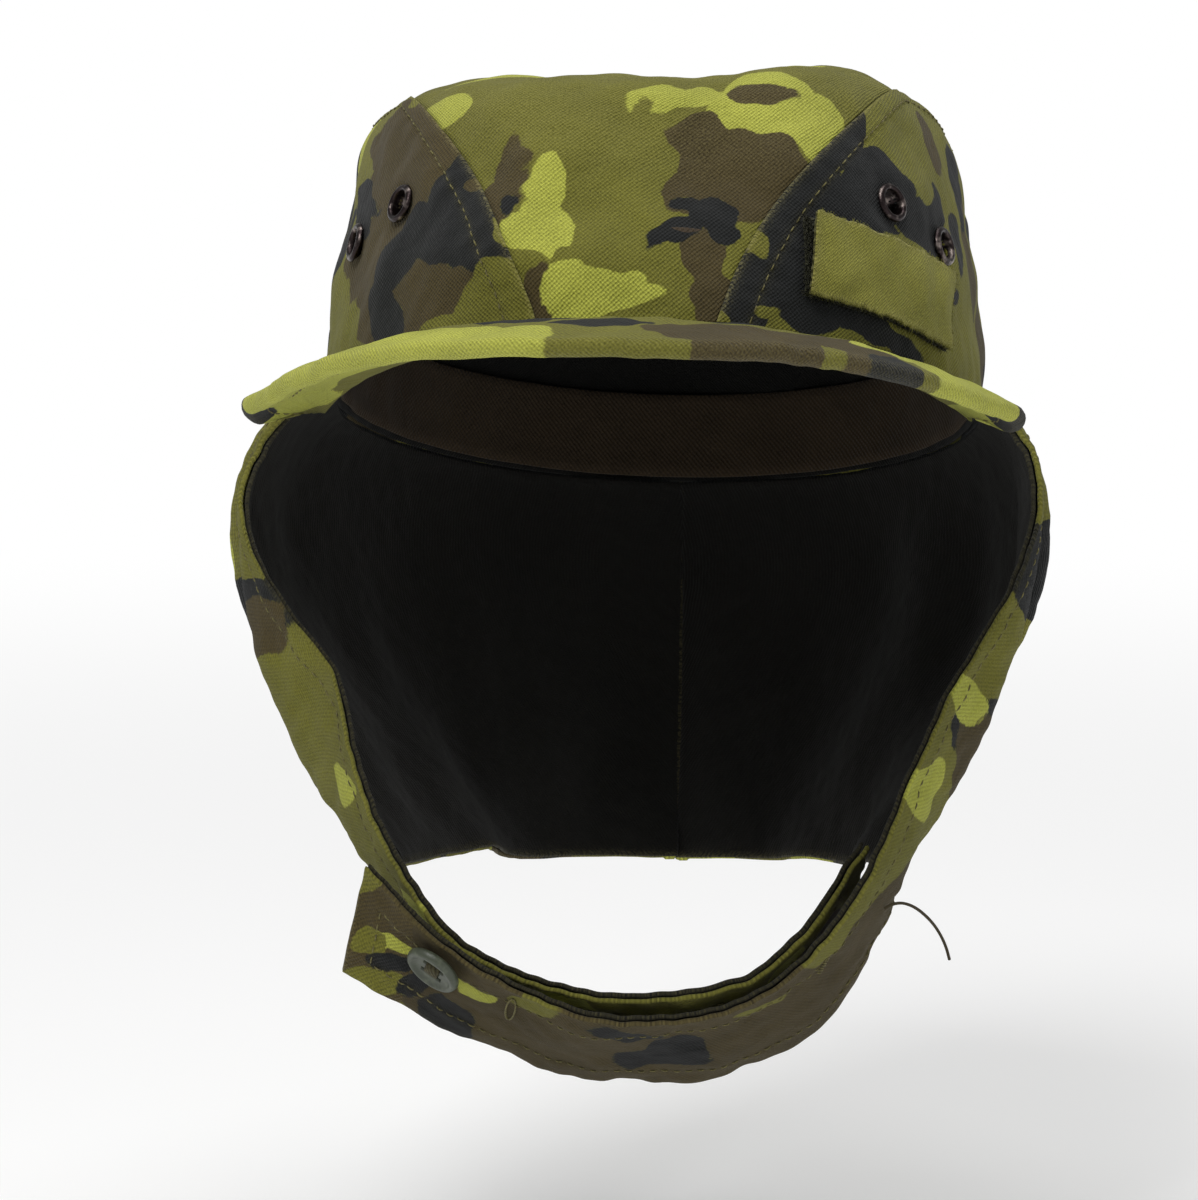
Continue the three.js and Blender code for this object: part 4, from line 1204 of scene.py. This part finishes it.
class Flap:
    """One half of the flap: its surface, and the cloth's folds off it."""

    def __init__(self, ribs, side, seed):
        self.side = side
        self.seed = seed
        self.tops = [one["top"] for one in ribs]
        self.hems = [one["hem"] for one in ribs]
        self.bows = [one["bow"] for one in ribs]
        self.skews = np.array([one["skew"] for one in ribs])

    def point(self, u, v):
        u, v = np.broadcast_arrays(np.asarray(u, float), np.asarray(v, float))
        skew = np.interp(u * LAST_RIB, np.arange(LAST_RIB + 1), self.skews)
        flat = lerp(spaced_spline(self.tops, u), spaced_spline(self.hems, u), v[..., None])
        return flat + spaced_spline(self.bows, u) * np.sin(math.pi * np.maximum(v, 1e-6) ** skew)[..., None]

    def spot(self, rib_number, v):
        return surface_frame(self.point, rib_number / LAST_RIB, v, (0.004, 0.03))

    def folds(self, base, u, v):
        """How far the cloth stands off its mean surface: long folds at the neck, small on the strap."""
        place = u * LAST_RIB
        neck = (1 - smooth((place - 4) / 2.5)) * smooth(v * 3)
        strap = smooth((place - 6) / 3)
        stretched = base * np.array([1, 1, 0.22])
        loose = 2.0 * waves(stretched, 46, self.seed) + 0.5 * waves(stretched, 19, self.seed + 1)
        small = 0.55 * waves(base, 34, self.seed + 2) + 0.28 * waves(base, 13, self.seed + 3)
        fine = 0.12 * waves(base, 6, self.seed + 4)
        return loose * neck + small * strap * smooth(v * 6 + 0.4) + fine

    def grid(self, start, end, columns, rows):
        share, v = mesh_grid(columns, rows)
        u = lerp(start, end, share)
        base = self.point(u, v)
        return u, v, base, grid_normals(base) * self.side


def hem_relief(distance):
    """A folded hem's extra height and its sewn groove, by distance from the edge."""
    groove = 0.3 * np.exp(-((distance - HEM - 0.2) / 0.7) ** 2)
    return 0.4 * (1 - smooth((distance - HEM) / 1.4)) - groove


def flap_piece(flap, name, start, end, grid, layout, hemmed_end=False, butted=False):
    """A stretch of flap: its cloth, lining and stitches, and the cloth's surface and normals.

    Its last column is a hem if hemmed_end is true, and its first meets another piece if butted is.
    """
    u, v, base, normals = flap.grid(start, end, *grid)
    place = u * LAST_RIB
    _, rear, low, high = edge_distances(base)
    free_top = smooth((place - FREE_TOP_RIB) / 0.8)
    near = np.minimum(high, np.where(free_top > 0.5, low, NO_EDGE))
    near = np.minimum(near, rear if hemmed_end else NO_EDGE)
    relief = hem_relief(near)
    folds = flap.folds(base, u, v)
    tucked = -1.1 * (1 - smooth(v / 0.05)) * (1 - free_top)
    camo = Blotches(base, flap.seed + 50, 1 - smooth((place - 4.5) / 1.5))
    camo.paint_all(layout, flap.spot)
    # Painted shade: the print turns dark along the upper edge where the flap tucks in at its seam with the
    # crown.
    camo.shade((1 - free_top) * (1 - smooth(v / 0.035)))
    bulge = np.full_like(u, 0.8)
    if butted:
        bulge[0] = 0
    common = {"weave": weave_of(base), "bulge": bulge}

    def raised(height):
        return base + normals * height[..., None]

    top = raised(FLAP_OUTER + relief + folds + tucked)
    wear = 0.3 * np.exp(-near / 0.9) + 0.2 * np.exp(-np.abs(near - HEM) / 0.8)
    cloth = shell(f"{name}_cloth", top, raised(FLAP_OUTER - CLOTH + folds + tucked), ["flap"],
                  camo=camo.values(), wear=wear, **common)
    lining = shell(f"{name}_lining", raised(FLAP_LINING + folds + 0.1 + tucked * 0.6),
                   raised(FLAP_LINING - CLOTH + folds - 0.3 * relief + tucked * 0.3), ["flap_lining"],
                   wear=0.3 * np.exp(-near / 0.8), **common)
    lines = hem_stitches(top, normals, high, low, rear if hemmed_end else None, free_top[:, 0] > 0.9)
    return cloth, lining, tubes_object(f"{name}_stitch", lines, "thread"), top, normals


def hem_stitches(top, normals, high, low, rear, free):
    """Stitches along the hem, along the upper edge where it is free, and across a hemmed end."""
    columns = np.arange(len(top), dtype=float)
    stop = len(columns)
    if rear is not None:
        stop = int(np.argmax(rear[:, (top.shape[1] - 1) // 2] < HEM)) or stop
    hem_rows = np.array([crossing(column, HEM) for column in high])
    made = sewn(top, normals, columns[:stop], hem_rows[:stop])
    free_columns = np.nonzero(free[:stop])[0]
    if len(free_columns) > 1:
        top_rows = np.array([crossing(low[i], HEM) for i in free_columns])
        made += sewn(top, normals, free_columns.astype(float), top_rows)
    if rear is not None and stop < len(columns):
        end_rows = np.linspace(hem_rows[stop - 1], crossing(low[stop - 1], HEM), 20)
        made += sewn(top, normals, np.full(20, stop - 1.0), end_rows)
    return made


def fold_blend(piece):
    """Bakes the world transform into the mesh of a piece between the cap and a cheek flap."""
    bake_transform(piece)


def nearest_spot(top, normals, target):
    """Place, outward direction and two tangent directions of the surface point nearest a target."""
    distance = np.linalg.norm(top - np.asarray(target, float), axis=-1)
    i, j = np.unravel_index(np.argmin(distance), distance.shape)
    along = unit(top[min(i + 1, len(top) - 1), j] - top[max(i - 1, 0), j])
    out = normals[i, j]
    return top[i, j], out, along, np.cross(out, along)


def bar_tack(top, normals, target, tilt, length=6.0, width=2.4, count=9):
    """A worn bar of close zigzag stitches."""
    place, out, along, across = nearest_spot(top, normals, target)
    line = along * math.cos(tilt) + across * math.sin(tilt)
    side = np.cross(out, line)
    made = []
    for k in range(count):
        at = place + line * (k / (count - 1) - 0.5) * length
        sway = side * (0.5 if k % 2 else 0.38) * width
        path = np.array([at - sway - out * 0.2, at - sway * 0.6 + out * 0.3,
                         at + sway * 0.6 + out * 0.32, at + sway - out * 0.2])
        made.append(tube(path, 0.26, 5, np.broadcast_to(out, path.shape)))
    return made


def add_back_seam(left, right):
    """The felled seam that joins the two halves of the neck curtain at the centre back."""
    across, v = mesh_grid(*BACK_SEAM_GRID)
    t = lerp(-1, 1, across)
    u = np.abs(t) * BACK_SEAM_REACH
    base = np.where(t[..., None] >= 0, left.point(u, v), right.point(u, v))
    folds = np.where(t >= 0, left.folds(base, u, v), right.folds(base, u, v))
    normals = grid_normals(base)
    normals *= np.sign(normals[..., 1].mean())
    ridge = 0.45 - 0.5 * np.exp(-(t / 0.07) ** 2) - 0.9 * smooth((np.abs(t) - 0.8) / 0.2)
    tucked = -1.1 * (1 - smooth(v / 0.05))
    top = base + normals * (FLAP_OUTER + ridge + folds + tucked)[..., None]
    under = base + normals * (FLAP_LINING - CLOTH + 0.2 - 0.3 * ridge + folds + tucked * 0.3)[..., None]
    camo = Blotches(base, left.seed + 50, np.ones_like(v))
    seam = shell("back_seam_cloth", top, under, ["flap", "flap_lining"], camo=camo.values(),
                 wear=0.4 * np.exp(-(t / 0.1) ** 2), weave=weave_of(base))
    enter(seam, "flap_camo_twill", "cap")
    rows = np.arange(BACK_SEAM_GRID[1] + 1.0)
    lines = [sewn(top, normals, np.full_like(rows, at), rows) for at in (5, 19)]
    enter(tubes_object("back_seam_stitch", sum(lines, []), "thread"), "sewing_thread", "cap")


def enter_flap(pieces, *solids):
    """Hides the solids that a flap's cloth and lining replace; its pieces, the cloth, lining and threads,
    are not used.
    """
    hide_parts(*solids)
    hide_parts(*(f"{solid}_lining" for solid in solids))


def add_flaps():
    left = Flap(LEFT_RIBS, 1, 100)
    right = Flap(RIGHT_RIBS, -1, 200)
    add_back_seam(left, right)

    *pieces, top, normals = flap_piece(left, "left_flap", 0.0, TIP_BEND, FLAP_GRID, LEFT_FLAP_PRINT_AND_SHADE)
    tacks = bar_tack(top, normals, (49, -64, -132), 0.5) + loop_tack(top, normals, (-31, -75, -146))
    pieces.append(tubes_object("left_strap_tacks", tacks, "thread"))
    enter_flap(pieces, "neck_curtain_left", "cheek_flap_left")
    for piece in pieces:
        fold_blend(piece)

    *pieces, top, normals = flap_piece(
        right, "right_flap", 0.0, 1.0, FLAP_GRID, RIGHT_FLAP_PRINT, hemmed_end=True)
    enter_flap(pieces, "neck_curtain_right", "cheek_flap_right")
    for piece in pieces:
        fold_blend(piece)

    *pieces, top, normals = flap_piece(
        left, "tip", TIP_BEND - TIP_OVERLAP, 1.0, TIP_GRID, LEFT_FLAP_PRINT_AND_SHADE, hemmed_end=True, butted=True)
    enter_flap(pieces, "strap_tip")
    for piece in pieces:
        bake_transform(piece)
    add_button(left)


def loop_tack(top, normals, target, length=10.0, width=2.4):
    """A loose loop of thread that hangs from the strap's hem stitching."""
    place, out, along, across = nearest_spot(top, normals, target)
    turn = np.linspace(-0.25, 1.25, 22) * 2 * math.pi
    path = (place + across * (np.cos(turn) * length / 2)[:, None]
            + along * (np.sin(turn) * width / 2)[:, None]
            + out * (0.35 + 0.25 * np.sin(turn * 1.5))[:, None])
    return [tube(path, 0.24, 6, np.broadcast_to(out, path.shape))]


# ---------------------------------------------------------- button and thread


def carve(piece, cutters):
    """Takes the cutters' volumes out of a piece."""
    for cutter in cutters:
        modifier = piece.modifiers.new("cut", "BOOLEAN")
        modifier.object = cutter
        modifier.operation = "DIFFERENCE"
        modifier.solver = "EXACT"
    depsgraph = bpy.context.evaluated_depsgraph_get()
    mesh = bpy.data.meshes.new_from_object(piece.evaluated_get(depsgraph))
    piece.modifiers.clear()
    piece.data = mesh
    for cutter in cutters:
        bpy.data.objects.remove(cutter)


def ribbon(path, broad, width, thickness, sides=12):
    """Vertices and faces of a flat band with rounded edges along a path; broad is its wide direction."""
    turns = np.arange(sides) * 2 * math.pi / sides
    cosine, sine = np.cos(turns), np.sin(turns)
    wide = np.sign(cosine) * np.abs(cosine) ** 0.5 * width / 2
    deep = np.sign(sine) * np.abs(sine) ** 0.7 * thickness / 2
    broad = np.broadcast_to(broad, path.shape)
    thick = unit(np.cross(unit(np.gradient(path, axis=0)), broad))
    vertices = path[:, None] + broad[:, None] * wide[:, None] + thick[:, None] * deep[:, None]
    return vertices.reshape(-1, 3), sleeve_faces(len(path), sides)


def button_axes(flap):
    """Place of the button on the strap, the strap's outward direction, along it and across it."""
    step = 0.004
    place = flap.point(BUTTON_U, BUTTON_V)
    along = unit(flap.point(BUTTON_U + step, BUTTON_V) - flap.point(BUTTON_U - step, BUTTON_V))
    across = unit(flap.point(BUTTON_U, BUTTON_V + step) - flap.point(BUTTON_U, BUTTON_V - step))
    return place, unit(np.cross(along, across)), along, across


def add_button(flap):
    """A dished disc with two slots, and the tape that runs up through them and down to the strap."""
    place, flat, along, across = button_axes(flap)
    out = flat * math.cos(BUTTON_TILT) + np.cross(flat, along) * math.sin(BUTTON_TILT)
    side = np.cross(out, along)
    seat = place + flat * BUTTON_LIFT - across * 2.0
    rim = BUTTON_RADIUS
    profile = [[0.01, 0.1], [rim - 1.4, 0], [rim, 0.7], [rim + 0.05, 1.9], [rim - 0.5, 2.9],
               [rim - 1.4, 3.0], [rim - 2.2, 2.2], [rim - 3.2, 1.9], [0.01, 1.9]]
    button = lathe("chin_button_disc", rounded(profile, 5), seat, out, "button", 72)
    faces = [[0, 1, 3, 2], [4, 6, 7, 5], [0, 4, 5, 1], [2, 3, 7, 6], [0, 2, 6, 4], [1, 5, 7, 3]]
    slots = []
    for way in (-1, 1):
        corners = [seat + side * (way * 2.2 + b * 0.9) + along * a * 3.0 + out * c
                   for a in (-1, 1) for b in (-1, 1) for c in (-2, 6)]
        slots.append(make_object(f"slot_{way}", corners, faces, ["button"], {}))
    carve(button, slots)
    enter(button, "button_plastic", "left_flap", "chin_button")

    turn = np.linspace(0, 1, 30)
    reach = 2.2 * np.cos(math.pi * turn)
    level = 3.2 * np.sin(math.pi * turn) ** 0.5 - 0.6
    bridge = seat + side * reach[:, None] + out * level[:, None]
    shank = seat + out * np.linspace(-5.2, -0.5, 8)[:, None]
    bands = [ribbon(bridge, along, 4.0, 0.7), ribbon(shank, along, 4.0, 1.3)]
    tape = tubes_object("button_tape_web", bands, "tape")
    enter(tape, "button_tape_cotton", "left_flap", "button_tape")


def add_thread():
    """The loose sewing thread that stands out of the left strap's stitching."""
    path = spaced_spline(THREAD_ROUTE, steps(120))
    curve = bpy.data.curves.new("loose_thread_line", "CURVE")
    curve.dimensions = "3D"
    curve.bevel_depth = THREAD_RADIUS * MM
    curve.bevel_resolution = 3
    curve.use_fill_caps = True
    spline = curve.splines.new("POLY")
    spline.points.add(len(path) - 1)
    for point, place in zip(spline.points, path):
        point.co = (*(place * MM), 1)
    curve.materials.append(MATERIALS["loose"])
    piece = link("loose_thread_line", curve)
    enter(piece, "sewing_thread", "left_flap", "loose_thread")


add_camera()
add_thread()
add_studio()
add_crown()
add_sweatband()
add_eyelets()
add_visor()
add_patch_loop()
add_patch_cover()
add_flaps()
